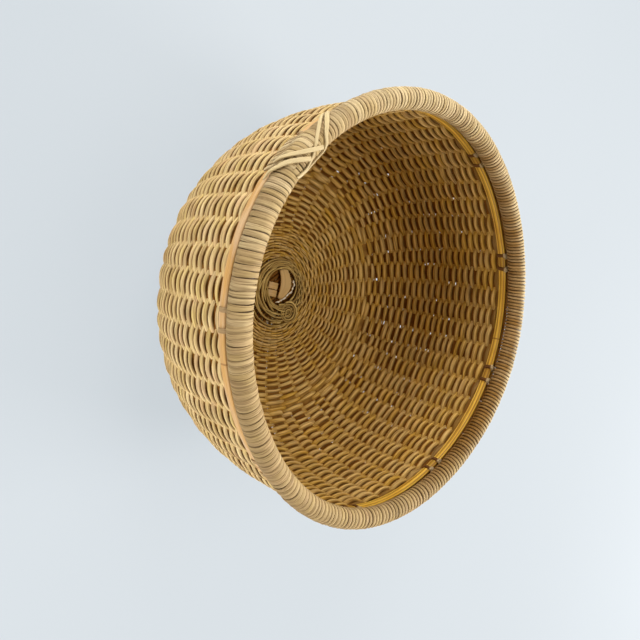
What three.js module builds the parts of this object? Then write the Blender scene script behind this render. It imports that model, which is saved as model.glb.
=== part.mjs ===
// Woven bowl basket: rods crossed under the base rise as stakes, a weave lies on both faces of the
// stakes, two cane hoops are lashed round their tops, and a wrapped rim with a crossed binding sits on them.
// Millimetres, +Z up, origin at the centre of the underside.
import * as THREE from "three";

// Bowl
const RIM_RADIUS = 127.6; // centre line of the rim tube
const RIM_TUBE_RADIUS = 6.5; // rim tube over its wrapping
const BOWL_DEPTH = 131.8; // rim centre line down to the underside
const SIDE_SQUARENESS = 3.3; // exponent of the side's curve, where 2 is an ellipse
const BASE_MARGIN = 5; // flat underside beyond the crossed rods

// Wall
const STRAND_THICKNESS = 1.7; // each layer of weave
const STAKE_THICKNESS = 1.1;
const STAKE_WIDTH = 2.6;
const SEAT_GAP = 0.3; // between pieces that bear on each other
const RIB_DEPTH = 1.2; // valleys of the outer weave between the stakes that it bulges over
const WALL_STEPS = 9; // facets up the side
const ROUND_STEPS = 48; // facets round the bowl

// Stakes
const RODS_PER_LAYER = 9; // two layers cross square under the base, and each rod makes two stakes
const ADDED_STAKES = 19; // let in higher up as the wall widens
const ADDED_START_RADIUS = 88;
const SPREAD_SLOPE = 2; // run of an upper rod for each unit that it drops to the wall's middle

// Rim
const WRAP_STRIPS = 5;
const WRAP_TURNS = 24; // on each strip
const WRAP_STEPS = 8; // facets in a turn
const WRAP_THICKNESS = 1;
const WRAP_COVER = 0.88; // share of the pitch that a turn covers
const CORE_SIDES = 8;

// Hoops and their lashings
const HOOP_THICKNESS = 2.3;
const OUTER_HOOP_HEIGHT = 5.8;
const INNER_HOOP_HEIGHT = 6.5;
const LASHINGS = 9;
const LASHING_START = THREE.MathUtils.degToRad(75); // direction of the first lashing
const LASHING_THICKNESS = 1;
const LASHING_WIDTH = 2;
const LASHING_STRADDLE = 5; // each turn of a lashing from the stake that it straddles

// Crossed binding on the rim
const CROSS_ANGLE = THREE.MathUtils.degToRad(-124.5);
const CROSS_REACH = 20; // along the rim, each way from the crossing
const CROSS_WIDTH = 3;
const CROSS_THICKNESS = 1.4;
const CROSS_WRAP_FROM = THREE.MathUtils.degToRad(-20); // round the tube, where 0 is outwards and 90 up
const CROSS_WRAP_TO = THREE.MathUtils.degToRad(220);
const CROSS_STEPS = 16;

// Coil and strip that close the base inside
const COIL_LOOPS = 5;
const COIL_STEPS = 20; // facets in a loop
const COIL_SIDES = 5;
const COIL_STRAND = 2; // diameter
const COIL_SPACING = 0.55; // between loops
const COIL_INNER_RADIUS = 13.5;
const STRIP_WIDTH = 8.5;
const STRIP_THICKNESS = 1.6;
const STRIP_OFFSET = 4.5; // to one side of the eye's middle
const STRIP_END_GAP = 0.8; // from the strip's round ends to the coil

const COLOURS = {
  outerWeave: 0xc2a068,
  innerWeave: 0x9a7434,
  stake: 0xb08e56,
  rimCore: 0xa88f5f,
  rimWrap: 0xcdb88a,
  outerHoop: 0xd0a068,
  innerHoop: 0xc8963a,
  lashing: 0x6b4a24,
  coil: 0x9a7c45,
  strip: 0xb69660,
};

// Layers of the wall, measured inwards from its outer face
const STAKE_OUTER = STRAND_THICKNESS + SEAT_GAP;
const STAKE_INNER = STAKE_OUTER + STAKE_THICKNESS;
const INNER_WEAVE_BACK = STAKE_INNER + SEAT_GAP;
const WALL_THICKNESS = INNER_WEAVE_BACK + STRAND_THICKNESS;
const WALL_RADIUS = RIM_RADIUS + WALL_THICKNESS / 2;

// Crossing of the rods under the base
const BASE_STAKES = 4 * RODS_PER_LAYER;
const ROD_PITCH = STAKE_WIDTH + 2 * SEAT_GAP;
const OUTER_ROD_OFFSET = ((RODS_PER_LAYER - 1) / 2) * ROD_PITCH;
const BEND_REACH = OUTER_ROD_OFFSET + STAKE_WIDTH / 2 + SEAT_GAP;
const LAYER_LIFT = STAKE_THICKNESS + SEAT_GAP;
const LIFTED_RADIUS = Math.hypot(BEND_REACH, OUTER_ROD_OFFSET) + STAKE_WIDTH;
const FAN_RADIUS = LIFTED_RADIUS + SPREAD_SLOPE * LAYER_LIFT;
const EYE_RADIUS = FAN_RADIUS + STAKE_WIDTH / 2; // opening in the inner weave over the crossing
const BASE_RADIUS = EYE_RADIUS + BASE_MARGIN;
const CROSSING_TOP = STAKE_INNER + LAYER_LIFT;

// Heights under the rim, measured down from its centre line
const STAKE_TOP_DROP = RIM_TUBE_RADIUS + SEAT_GAP;
const HOOP_TOP_DROP = STAKE_TOP_DROP + LASHING_THICKNESS + SEAT_GAP;
const OUTER_HOOP_DROP = HOOP_TOP_DROP + OUTER_HOOP_HEIGHT;
const INNER_HOOP_DROP = HOOP_TOP_DROP + INNER_HOOP_HEIGHT;
const WEAVE_TOP_DROP =
  Math.max(OUTER_HOOP_DROP, INNER_HOOP_DROP) + LASHING_THICKNESS + 2 * SEAT_GAP;

const { lerp, smoothstep } = THREE.MathUtils;
const TURN = 2 * Math.PI;
const basket = new THREE.Group();

// A point of the side's curve, moved inwards: t is 0 in the rim's plane and a quarter turn at the base.
function wallPoint(t, inset) {
  const power = 2 / SIDE_SQUARENESS;
  const run = WALL_RADIUS - BASE_RADIUS;
  const across = Math.pow(Math.cos(t), power);
  const down = Math.pow(Math.sin(t), power);
  const outwards = new THREE.Vector2(
    Math.pow(Math.cos(t), 2 - power) / run,
    -Math.pow(Math.sin(t), 2 - power) / BOWL_DEPTH,
  ).normalize();
  const point = new THREE.Vector2(BASE_RADIUS + run * across, BOWL_DEPTH * (1 - down));
  return point.addScaledVector(outwards, -inset);
}

// Where on the side's curve a given drop below the rim's centre line lies.
function tAtDrop(drop) {
  return Math.asin(Math.pow(drop / BOWL_DEPTH, SIDE_SQUARENESS / 2));
}

const WEAVE_TOP = tAtDrop(WEAVE_TOP_DROP);
const STAKE_TOP = tAtDrop(STAKE_TOP_DROP);

// Stations up the side, from the edge of the flat base to the top of the weave, which all layers share.
const sideStations = [];
for (let step = 0; step <= WALL_STEPS; step += 1) {
  sideStations.push(lerp(Math.PI / 2, WEAVE_TOP, step / WALL_STEPS));
}

// The first shared station at or beyond the radius where stakes are added.
function addedStartStep() {
  return sideStations.findIndex((t) => wallPoint(t, 0).x >= ADDED_START_RADIUS);
}

const ADDED_START = addedStartStep();

function polar(radius, angle, height) {
  return new THREE.Vector3(radius * Math.cos(angle), radius * Math.sin(angle), height);
}

function enclosedVolume(points, triangles) {
  let six = 0;
  for (let i = 0; i < triangles.length; i += 3) {
    const [a, b, c] = [points[triangles[i]], points[triangles[i + 1]], points[triangles[i + 2]]];
    six += a.dot(new THREE.Vector3().crossVectors(b, c));
  }
  return six / 6;
}

// A closed solid through rings of points, all with as many points, with its two ends capped.
function loftRings(rings) {
  const sides = rings[0].length;
  const points = rings.flat();
  const triangles = [];
  for (let ring = 0; ring + 1 < rings.length; ring += 1) {
    for (let side = 0; side < sides; side += 1) {
      const next = (side + 1) % sides;
      const a = ring * sides + side;
      const b = ring * sides + next;
      triangles.push(a, b, b + sides, a, b + sides, a + sides);
    }
  }
  const last = points.length - sides;
  for (let side = 1; side + 1 < sides; side += 1) {
    triangles.push(0, side + 1, side, last, last + side, last + side + 1);
  }
  return closedSolid(points, triangles);
}

function closedSolid(points, triangles) {
  if (enclosedVolume(points, triangles) < 0) {
    triangles.reverse();
  }
  const geometry = new THREE.BufferGeometry().setFromPoints(points);
  geometry.setIndex(triangles);
  geometry.computeVertexNormals();
  return geometry;
}

// A bowl through rings from the base up, with two points in an outer ring for each one in an inner ring.
function loftBowl(outerRings, innerRings) {
  const count = innerRings[0].length;
  const bottom = new THREE.Vector3(0, 0, outerRings[0][0].z);
  const floor = new THREE.Vector3(0, 0, innerRings[0][0].z);
  const points = [bottom, floor, ...outerRings.flat(), ...innerRings.flat()];
  const outer = (ring, side) => 2 + ring * 2 * count + (side % (2 * count));
  const inner = (ring, side) => outer(outerRings.length, 0) + ring * count + (side % count);
  const top = outerRings.length - 1;
  const triangles = [];
  for (let side = 0; side < 2 * count; side += 1) {
    triangles.push(0, outer(0, side + 1), outer(0, side));
    for (let ring = 0; ring < top; ring += 1) {
      const [a, b] = [outer(ring, side), outer(ring, side + 1)];
      const [c, d] = [outer(ring + 1, side + 1), outer(ring + 1, side)];
      triangles.push(a, b, c, a, c, d);
    }
  }
  for (let side = 0; side < count; side += 1) {
    triangles.push(1, inner(0, side), inner(0, side + 1));
    for (let ring = 0; ring < top; ring += 1) {
      const [a, b] = [inner(ring, side), inner(ring, side + 1)];
      const [c, d] = [inner(ring + 1, side + 1), inner(ring + 1, side)];
      triangles.push(a, c, b, a, d, c);
    }
    const [near, far] = [inner(top, side), inner(top, side + 1)];
    const [first, rib, next] = [0, 1, 2].map((step) => outer(top, 2 * side + step));
    triangles.push(near, first, rib, near, rib, far, far, rib, next);
  }
  return closedSolid(points, triangles);
}

// A profile of [radius, height] points turned about the basket's axis. One that keeps off the axis is closed.
function turnProfile(points) {
  const offAxis = points[0].x > 0;
  const outline = offAxis ? [...points, points[0]] : points;
  return new THREE.LatheGeometry(outline, ROUND_STEPS).rotateX(Math.PI / 2);
}

function addPiece(group, name, geometry, colour, roughness = 0.8) {
  const material = new THREE.MeshStandardMaterial({ color: colour, roughness, metalness: 0 });
  const mesh = new THREE.Mesh(geometry, material);
  mesh.name = name;
  group.add(mesh);
}

// The least distance between rings that lie most of a turn or more apart along a winding.
function leastSelfGap(rings, ringsPerTurn) {
  let least = Infinity;
  const apart = Math.ceil(0.75 * ringsPerTurn);
  for (let i = 0; i < rings.length; i += 1) {
    for (let j = i + apart; j < rings.length; j += 1) {
      for (const p of rings[i]) {
        for (const q of rings[j]) {
          least = Math.min(least, p.distanceTo(q));
        }
      }
    }
  }
  return least;
}

function reportSelfGap(name, rings, ringsPerTurn) {
  console.log(`${name}: least gap to itself ${leastSelfGap(rings, ringsPerTurn).toFixed(2)} mm`);
}

// Stakes stand evenly at the base, and lean a little to make room for the added ones higher up.
const PLACES = BASE_STAKES + ADDED_STAKES;

function rimPlace(stake) {
  return stake + Math.floor((stake * ADDED_STAKES) / BASE_STAKES);
}

function stakeAngle(stake, t) {
  const atBase = (stake / BASE_STAKES) * TURN;
  const atRim = ((rimPlace(stake) + 0.5) / PLACES) * TURN;
  const climb = 1 - smoothstep(t, WEAVE_TOP, sideStations[ADDED_START]);
  return lerp(atBase, atRim, climb);
}

// Every stake's place at the rim, with the base stake before it and its share of the way to the next one.
const stakePlaces = [];
for (let stake = 0; stake < BASE_STAKES; stake += 1) {
  const count = rimPlace(stake + 1) - rimPlace(stake);
  for (let step = 0; step < count; step += 1) {
    stakePlaces.push({ stake, share: step / count });
  }
}

function placeAngle({ stake, share }, t) {
  return lerp(stakeAngle(stake, t), stakeAngle(stake + 1, t), share);
}

// Section of a stake on the side, with its width laid along the given direction.
function stakeRing(t, angle, leftwards) {
  const left = polar(leftwards * (STAKE_WIDTH / 2), angle + Math.PI / 2, 0);
  const outer = wallPoint(t, STAKE_OUTER);
  const inner = wallPoint(t, STAKE_INNER);
  const outerCentre = polar(outer.x, angle, outer.y);
  const innerCentre = polar(inner.x, angle, inner.y);
  return [
    outerCentre.clone().sub(left),
    outerCentre.clone().add(left),
    innerCentre.clone().add(left),
    innerCentre.clone().sub(left),
  ];
}

// One end of a crossed rod on the flat: parallel to its neighbours, then spread to its stake's direction.
function spreadPath(offset, fanAngle) {
  const bend = new THREE.Vector2(BEND_REACH, offset);
  const fan = new THREE.Vector2(FAN_RADIUS * Math.cos(fanAngle), FAN_RADIUS * Math.sin(fanAngle));
  const share = (LIFTED_RADIUS - bend.length()) / (FAN_RADIUS - bend.length());
  const held = bend.clone().lerp(fan, THREE.MathUtils.clamp(share, 0, 1));
  return [
    { at: bend, lifted: 1 },
    { at: held, lifted: 1 },
    { at: fan, lifted: 0 },
  ];
}

// Sections of a crossed rod over the flat base, from one fan to the other.
function crossingRings(axisAngle, offset, fanAngle, lift) {
  const near = spreadPath(offset, fanAngle).reverse();
  const far = spreadPath(offset, fanAngle);
  for (const stop of far) {
    stop.at = new THREE.Vector2(-stop.at.x, stop.at.y);
  }
  const path = [...near, ...far];
  return path.map((stop, index) => {
    const before = path[Math.max(index - 1, 0)].at;
    const after = path[Math.min(index + 1, path.length - 1)].at;
    const along = after.clone().sub(before).normalize();
    const left = new THREE.Vector2(-along.y, along.x).multiplyScalar(STAKE_WIDTH / 2);
    const low = STAKE_OUTER + lift * stop.lifted;
    const high = low + STAKE_THICKNESS;
    const corner = (side, height) => {
      const spot = stop.at.clone().addScaledVector(left, side);
      spot.rotateAround(new THREE.Vector2(), axisAngle);
      return new THREE.Vector3(spot.x, spot.y, height);
    };
    return [corner(-1, low), corner(1, low), corner(1, high), corner(-1, high)];
  });
}

// Each rod runs down the side, across the base in its layer and up the far side.
function addBaseRods(group) {
  const stepAngle = TURN / BASE_STAKES;
  for (let layer = 0; layer < 2; layer += 1) {
    const first = layer * RODS_PER_LAYER;
    const axisAngle = (first + (RODS_PER_LAYER - 1) / 2) * stepAngle;
    for (let rod = 0; rod < RODS_PER_LAYER; rod += 1) {
      const rank = rod - (RODS_PER_LAYER - 1) / 2;
      const nearStake = first + rod;
      const farStake = first + 3 * RODS_PER_LAYER - 1 - rod;
      const sideRings = (stake, leftwards) =>
        [...sideStations, STAKE_TOP].map((t) => stakeRing(t, stakeAngle(stake, t), leftwards));
      const rings = [
        ...sideRings(nearStake, -1).reverse(),
        ...crossingRings(axisAngle, rank * ROD_PITCH, rank * stepAngle, layer * LAYER_LIFT),
        ...sideRings(farStake, 1),
      ];
      const number = String(first + rod + 1).padStart(2, "0");
      addPiece(group, `base_rod_${number}`, loftRings(rings), COLOURS.stake);
    }
  }
}

// Added stakes stand between two base stakes, sharing the space evenly.
function addAddedStakes(group) {
  const added = stakePlaces.filter((place) => place.share > 0);
  added.forEach((place, index) => {
    const stations = [...sideStations.slice(ADDED_START), STAKE_TOP];
    const rings = stations.map((t) => stakeRing(t, placeAngle(place, t), 1));
    const label = String(index + 1).padStart(2, "0");
    addPiece(group, `added_stake_${label}`, loftRings(rings), COLOURS.stake);
  });
}

// A ring of the weave's outside, with a rib over each stake and a valley beside it. The base stays flat.
function ribbedRing(t, station) {
  const ridge = wallPoint(t, 0);
  const valley = wallPoint(t, station > 0 ? RIB_DEPTH : 0);
  const angles = stakePlaces.map((place) => placeAngle(place, t));
  return stakePlaces.flatMap((place, index) => {
    const next = index + 1 < angles.length ? angles[index + 1] : angles[0] + TURN;
    const overStake = place.share === 0 || station >= ADDED_START ? ridge : valley;
    return [
      polar(overStake.x, angles[index], overStake.y),
      polar(valley.x, (angles[index] + next) / 2, valley.y),
    ];
  });
}

// The two faces of the weave, as bowls that hold the stakes between them.
function addWeave(group) {
  const behindStakes = sideStations.map((t) => {
    const point = wallPoint(t, STRAND_THICKNESS);
    return stakePlaces.map((place) => polar(point.x, placeAngle(place, t), point.y));
  });
  const outer = loftBowl(sideStations.map(ribbedRing), behindStakes);
  addPiece(group, "outer_weave", outer, COLOURS.outerWeave, 0.85);

  const back = sideStations.map((t) => wallPoint(t, INNER_WEAVE_BACK));
  const inside = sideStations.map((t) => wallPoint(t, WALL_THICKNESS));
  const innerProfile = [
    new THREE.Vector2(EYE_RADIUS, INNER_WEAVE_BACK),
    ...back,
    ...inside.reverse(),
    new THREE.Vector2(EYE_RADIUS, WALL_THICKNESS),
  ];
  addPiece(group, "inner_weave", turnProfile(innerProfile), COLOURS.innerWeave, 0.85);
}

// A flat cane hoop that follows the wall between two heights.
function hoopProfile(outerInset, bottomDrop) {
  const bottom = tAtDrop(bottomDrop);
  const top = tAtDrop(HOOP_TOP_DROP);
  return [
    wallPoint(bottom, outerInset),
    wallPoint(top, outerInset),
    wallPoint(top, outerInset + HOOP_THICKNESS),
    wallPoint(bottom, outerInset + HOOP_THICKNESS),
  ];
}

const OUTER_HOOP_INSET = STRAND_THICKNESS - HOOP_THICKNESS;

function addHoops(group) {
  const outer = hoopProfile(OUTER_HOOP_INSET, OUTER_HOOP_DROP);
  const inner = hoopProfile(INNER_WEAVE_BACK, INNER_HOOP_DROP);
  const facetSlack = 1 / Math.cos(Math.PI / ROUND_STEPS);
  outer[2].x *= facetSlack;
  outer[3].x *= facetSlack;
  addPiece(group, "outer_hoop", turnProfile(outer), COLOURS.outerHoop, 0.55);
  addPiece(group, "inner_hoop", turnProfile(inner), COLOURS.innerHoop, 0.5);
}

// The space between two stakes that is nearest to a direction, as the stake's direction that it follows.
function nearestStakeAngle(direction) {
  const placeAngle = TURN / PLACES;
  return (Math.round(direction / placeAngle - 0.5) + 0.5) * placeAngle;
}

// Each lashing takes one turn round both hoops on either side of a stake, and slants across it inside.
function addLashings(group) {
  const innerFace = wallPoint(STAKE_TOP, INNER_WEAVE_BACK + HOOP_THICKNESS).x - SEAT_GAP;
  const outerFace = wallPoint(STAKE_TOP, OUTER_HOOP_INSET).x + SEAT_GAP;
  const facetSag = outerFace * (1 - Math.cos(Math.PI / ROUND_STEPS));
  const top = BOWL_DEPTH - HOOP_TOP_DROP + SEAT_GAP;
  const bottom = BOWL_DEPTH - Math.max(OUTER_HOOP_DROP, INNER_HOOP_DROP) - SEAT_GAP;
  const middle = (top + bottom) / 2;
  const innerRadius = innerFace - facetSag;
  const stops = [
    { radius: innerRadius, height: middle, away: [-1, 0], side: -1 },
    { radius: innerRadius, height: top, away: [-1, 1], side: -1 },
    { radius: outerFace, height: top, away: [1, 1], side: -1 },
    { radius: outerFace, height: bottom, away: [1, -1], side: -1 },
    { radius: innerRadius, height: bottom, away: [-1, -1], side: -1 },
    { radius: innerRadius, height: top, away: [-1, 1], side: 1 },
    { radius: outerFace, height: top, away: [1, 1], side: 1 },
    { radius: outerFace, height: bottom, away: [1, -1], side: 1 },
    { radius: innerRadius, height: bottom, away: [-1, -1], side: 1 },
    { radius: innerRadius, height: middle, away: [-1, 0], side: 1 },
  ];
  for (let lashing = 0; lashing < LASHINGS; lashing += 1) {
    const direction = nearestStakeAngle(LASHING_START + (lashing / LASHINGS) * TURN);
    const rings = stops.map((stop) => {
      const corner = (across, lifted) => {
        const sideways = stop.side * LASHING_STRADDLE + across * (LASHING_WIDTH / 2);
        const radius = stop.radius + lifted * LASHING_THICKNESS * stop.away[0];
        const height = stop.height + lifted * LASHING_THICKNESS * stop.away[1];
        return polar(radius, direction + sideways / RIM_RADIUS, height);
      };
      return [corner(-1, 0), corner(1, 0), corner(1, 1), corner(-1, 1)];
    });
    addPiece(group, `hoop_lashing_${lashing + 1}`, loftRings(rings), COLOURS.lashing, 0.75);
  }
}

// A point near the rim tube: along is the direction of the rim, round is the angle about the tube.
function rimPoint(along, round, radius) {
  return polar(
    RIM_RADIUS + radius * Math.cos(round),
    along,
    BOWL_DEPTH + radius * Math.sin(round),
  );
}

const WRAP_INNER = RIM_TUBE_RADIUS - WRAP_THICKNESS;

function addRimCore(group) {
  const coreRadius = WRAP_INNER * Math.cos(Math.PI / WRAP_STEPS) - SEAT_GAP;
  const section = [];
  for (let side = 0; side < CORE_SIDES; side += 1) {
    const round = (side / CORE_SIDES) * TURN;
    const radius = RIM_RADIUS + coreRadius * Math.cos(round);
    section.push(new THREE.Vector2(radius, BOWL_DEPTH + coreRadius * Math.sin(round)));
  }
  addPiece(group, "rim_core", turnProfile(section), COLOURS.rimCore, 0.9);
}

// Strips with a broad outer face, wound round the core one after another.
function addRimWraps(group) {
  const pitch = TURN / (WRAP_STRIPS * WRAP_TURNS);
  const halfWidth = (WRAP_COVER * pitch) / 2;
  for (let strip = 0; strip < WRAP_STRIPS; strip += 1) {
    const rings = [];
    const lastStep = WRAP_TURNS * WRAP_STEPS - 1;
    for (let step = 0; step <= lastStep; step += 1) {
      const turn = step / WRAP_STEPS;
      const round = turn * TURN - Math.PI / 2;
      const along = (strip * WRAP_TURNS + turn) * pitch;
      rings.push([
        rimPoint(along - halfWidth, round, RIM_TUBE_RADIUS),
        rimPoint(along + halfWidth, round, RIM_TUBE_RADIUS),
        rimPoint(along, round, WRAP_INNER),
      ]);
    }
    const name = `rim_wrap_${strip + 1}`;
    reportSelfGap(name, rings, WRAP_STEPS);
    addPiece(group, name, loftRings(rings), COLOURS.rimWrap, 0.8);
  }
}

// Two strands over the wrapping that cross near the crown of the rim, the second humped over the first.
function addRimCross(group) {
  const seat = RIM_TUBE_RADIUS + SEAT_GAP;
  const humpFull = Math.PI / 6;
  const humpEnd = Math.PI / 3;
  for (let strand = 0; strand < 2; strand += 1) {
    const slant = strand === 0 ? 1 : -1;
    const rings = [];
    for (let step = 0; step <= CROSS_STEPS; step += 1) {
      const share = step / CROSS_STEPS;
      const round = lerp(CROSS_WRAP_FROM, CROSS_WRAP_TO, share);
      const along = CROSS_ANGLE + (slant * (2 * share - 1) * CROSS_REACH) / RIM_RADIUS;
      const fromCrown = Math.abs(share - 0.5) * (CROSS_WRAP_TO - CROSS_WRAP_FROM);
      const hump = 1 - smoothstep(fromCrown, humpFull, humpEnd);
      const low = seat + strand * hump * (CROSS_THICKNESS + SEAT_GAP);
      const half = CROSS_WIDTH / 2 / RIM_RADIUS;
      rings.push([
        rimPoint(along - half, round, low),
        rimPoint(along + half, round, low),
        rimPoint(along + half, round, low + CROSS_THICKNESS),
        rimPoint(along - half, round, low + CROSS_THICKNESS),
      ]);
    }
    addPiece(group, `rim_cross_${strand + 1}`, loftRings(rings), COLOURS.rimWrap, 0.75);
  }
}

// A flat spiral of strand over the crossed rods, with a strip that spans one side of its eye.
function addBaseEye(group) {
  const seat = Math.max(CROSSING_TOP, WALL_THICKNESS) + SEAT_GAP;
  const coilHeight = seat + COIL_STRAND / 2;
  const pitch = COIL_STRAND + COIL_SPACING;
  const rings = [];
  for (let step = 0; step <= COIL_LOOPS * COIL_STEPS; step += 1) {
    const turn = step / COIL_STEPS;
    const radius = COIL_INNER_RADIUS + turn * pitch;
    const ring = [];
    for (let side = 0; side < COIL_SIDES; side += 1) {
      const round = (side / COIL_SIDES) * TURN - Math.PI / 2;
      const out = (COIL_STRAND / 2) * Math.cos(round);
      const up = (COIL_STRAND / 2) * Math.sin(round);
      ring.push(polar(radius + out, turn * TURN, coilHeight + up));
    }
    rings.push(ring);
  }
  reportSelfGap("base_coil", rings, COIL_STEPS);
  addPiece(group, "base_coil", loftRings(rings), COLOURS.coil, 0.85);

  const eyeEdge = (COIL_INNER_RADIUS - COIL_STRAND / 2) * Math.cos(Math.PI / COIL_STEPS);
  const endReach = eyeEdge - STRIP_END_GAP - STRIP_WIDTH / 2;
  const half = Math.sqrt(endReach ** 2 - STRIP_OFFSET ** 2);
  const outline = new THREE.Shape();
  outline.absarc(half, 0, STRIP_WIDTH / 2, -Math.PI / 2, Math.PI / 2);
  outline.absarc(-half, 0, STRIP_WIDTH / 2, Math.PI / 2, (3 * Math.PI) / 2);
  const options = { depth: STRIP_THICKNESS, bevelEnabled: false, curveSegments: 6 };
  const strip = new THREE.ExtrudeGeometry(outline, options);
  strip.translate(0, STRIP_OFFSET, seat);
  addPiece(group, "base_tuck_strip", strip, COLOURS.strip, 0.7);
}

const stakes = new THREE.Group();
addBaseRods(stakes);
addAddedStakes(stakes);

const weave = new THREE.Group();
addWeave(weave);
addBaseEye(weave);

const rim = new THREE.Group();
addHoops(rim);
addLashings(rim);
addRimCore(rim);
addRimWraps(rim);
addRimCross(rim);

basket.add(stakes, weave, rim);

export default basket;
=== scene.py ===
"""Woven grass bowl basket: strands, stakes, hoops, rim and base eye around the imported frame."""

import logging
import math
from collections.abc import Callable, Sequence
from dataclasses import dataclass, field
from enum import Enum
from typing import ClassVar

import bpy
import numpy as np
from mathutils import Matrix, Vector

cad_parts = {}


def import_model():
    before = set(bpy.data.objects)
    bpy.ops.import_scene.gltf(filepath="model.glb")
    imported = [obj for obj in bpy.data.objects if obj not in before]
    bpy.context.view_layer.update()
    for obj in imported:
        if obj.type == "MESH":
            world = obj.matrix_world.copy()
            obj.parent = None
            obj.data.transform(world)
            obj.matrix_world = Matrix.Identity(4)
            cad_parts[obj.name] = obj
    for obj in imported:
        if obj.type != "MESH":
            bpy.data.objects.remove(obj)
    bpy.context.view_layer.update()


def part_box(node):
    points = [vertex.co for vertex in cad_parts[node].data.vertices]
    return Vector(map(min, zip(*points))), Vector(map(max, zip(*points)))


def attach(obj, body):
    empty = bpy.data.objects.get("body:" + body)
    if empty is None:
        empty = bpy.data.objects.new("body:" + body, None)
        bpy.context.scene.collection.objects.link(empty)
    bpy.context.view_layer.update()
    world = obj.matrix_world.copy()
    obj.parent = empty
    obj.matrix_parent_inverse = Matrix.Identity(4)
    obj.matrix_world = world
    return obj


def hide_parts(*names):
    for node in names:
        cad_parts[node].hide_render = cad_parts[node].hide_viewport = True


MM = 0.001
TURN = 2.0 * math.pi
BODY = "root"
STRAND_UV = "strand"
UV_LENGTH = 10.0 * MM
RIM_RADIAN = 127.6 * MM / UV_LENGTH
LOG = logging.getLogger("basket")

Colour = tuple[float, float, float]
Place = tuple[float, float, float]
Run = tuple[np.ndarray, np.ndarray, np.ndarray]


class Slot(Enum):
    """The record's material slots; each piece is handed one when it is settled, and nothing reads it."""

    WEAVE_OUTSIDE = "weave_outside"
    WEAVE_INSIDE = "weave_inside"
    STAKE = "stake_cane"
    BASE_STRAND = "base_strand"
    BASE_STRIP = "base_strip"
    RIM_CORE = "rim_core"
    RIM_WRAP = "rim_wrap"
    RIM_BINDING = "rim_binding"
    HOOP_OUTSIDE = "hoop_outside"
    HOOP_INSIDE = "hoop_inside"
    LASHING = "lashing"


class Face(Enum):
    """The face of the wall that a hoop lies on."""

    OUTSIDE = 1
    INSIDE = -1


# Shader expressions


class Sock:
    """An output socket that takes part in Python expressions on numbers."""

    def __init__(self, graph: "ShaderGraph", socket: bpy.types.NodeSocket) -> None:
        """Keep an output socket and the graph that its Math nodes go into."""
        self.graph = graph
        self.socket = socket

    def math(self, operation: str, first: "Sock | float", second: "Sock | float" = 0.0) -> "Sock":
        """Add one Math node and give its result."""
        return self.graph.node("ShaderNodeMath", {"operation": operation}, {0: first, 1: second})

    def __add__(self, other: "Sock | float") -> "Sock":
        """Sum."""
        return self.math("ADD", self, other)

    __radd__ = __add__

    def __sub__(self, other: "Sock | float") -> "Sock":
        """Difference."""
        return self.math("SUBTRACT", self, other)

    def __rsub__(self, other: float) -> "Sock":
        """Difference from a number on the left."""
        return self.math("SUBTRACT", other, self)

    def __mul__(self, other: "Sock | float") -> "Sock":
        """Product."""
        return self.math("MULTIPLY", self, other)

    __rmul__ = __mul__

    def band(self, low: float, high: float) -> "Sock":
        """Rise smoothly from 0 at low to 1 at high."""
        settings = {"interpolation_type": "SMOOTHSTEP"}
        return self.graph.node("ShaderNodeMapRange", settings, {0: self, 1: low, 2: high})


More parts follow.
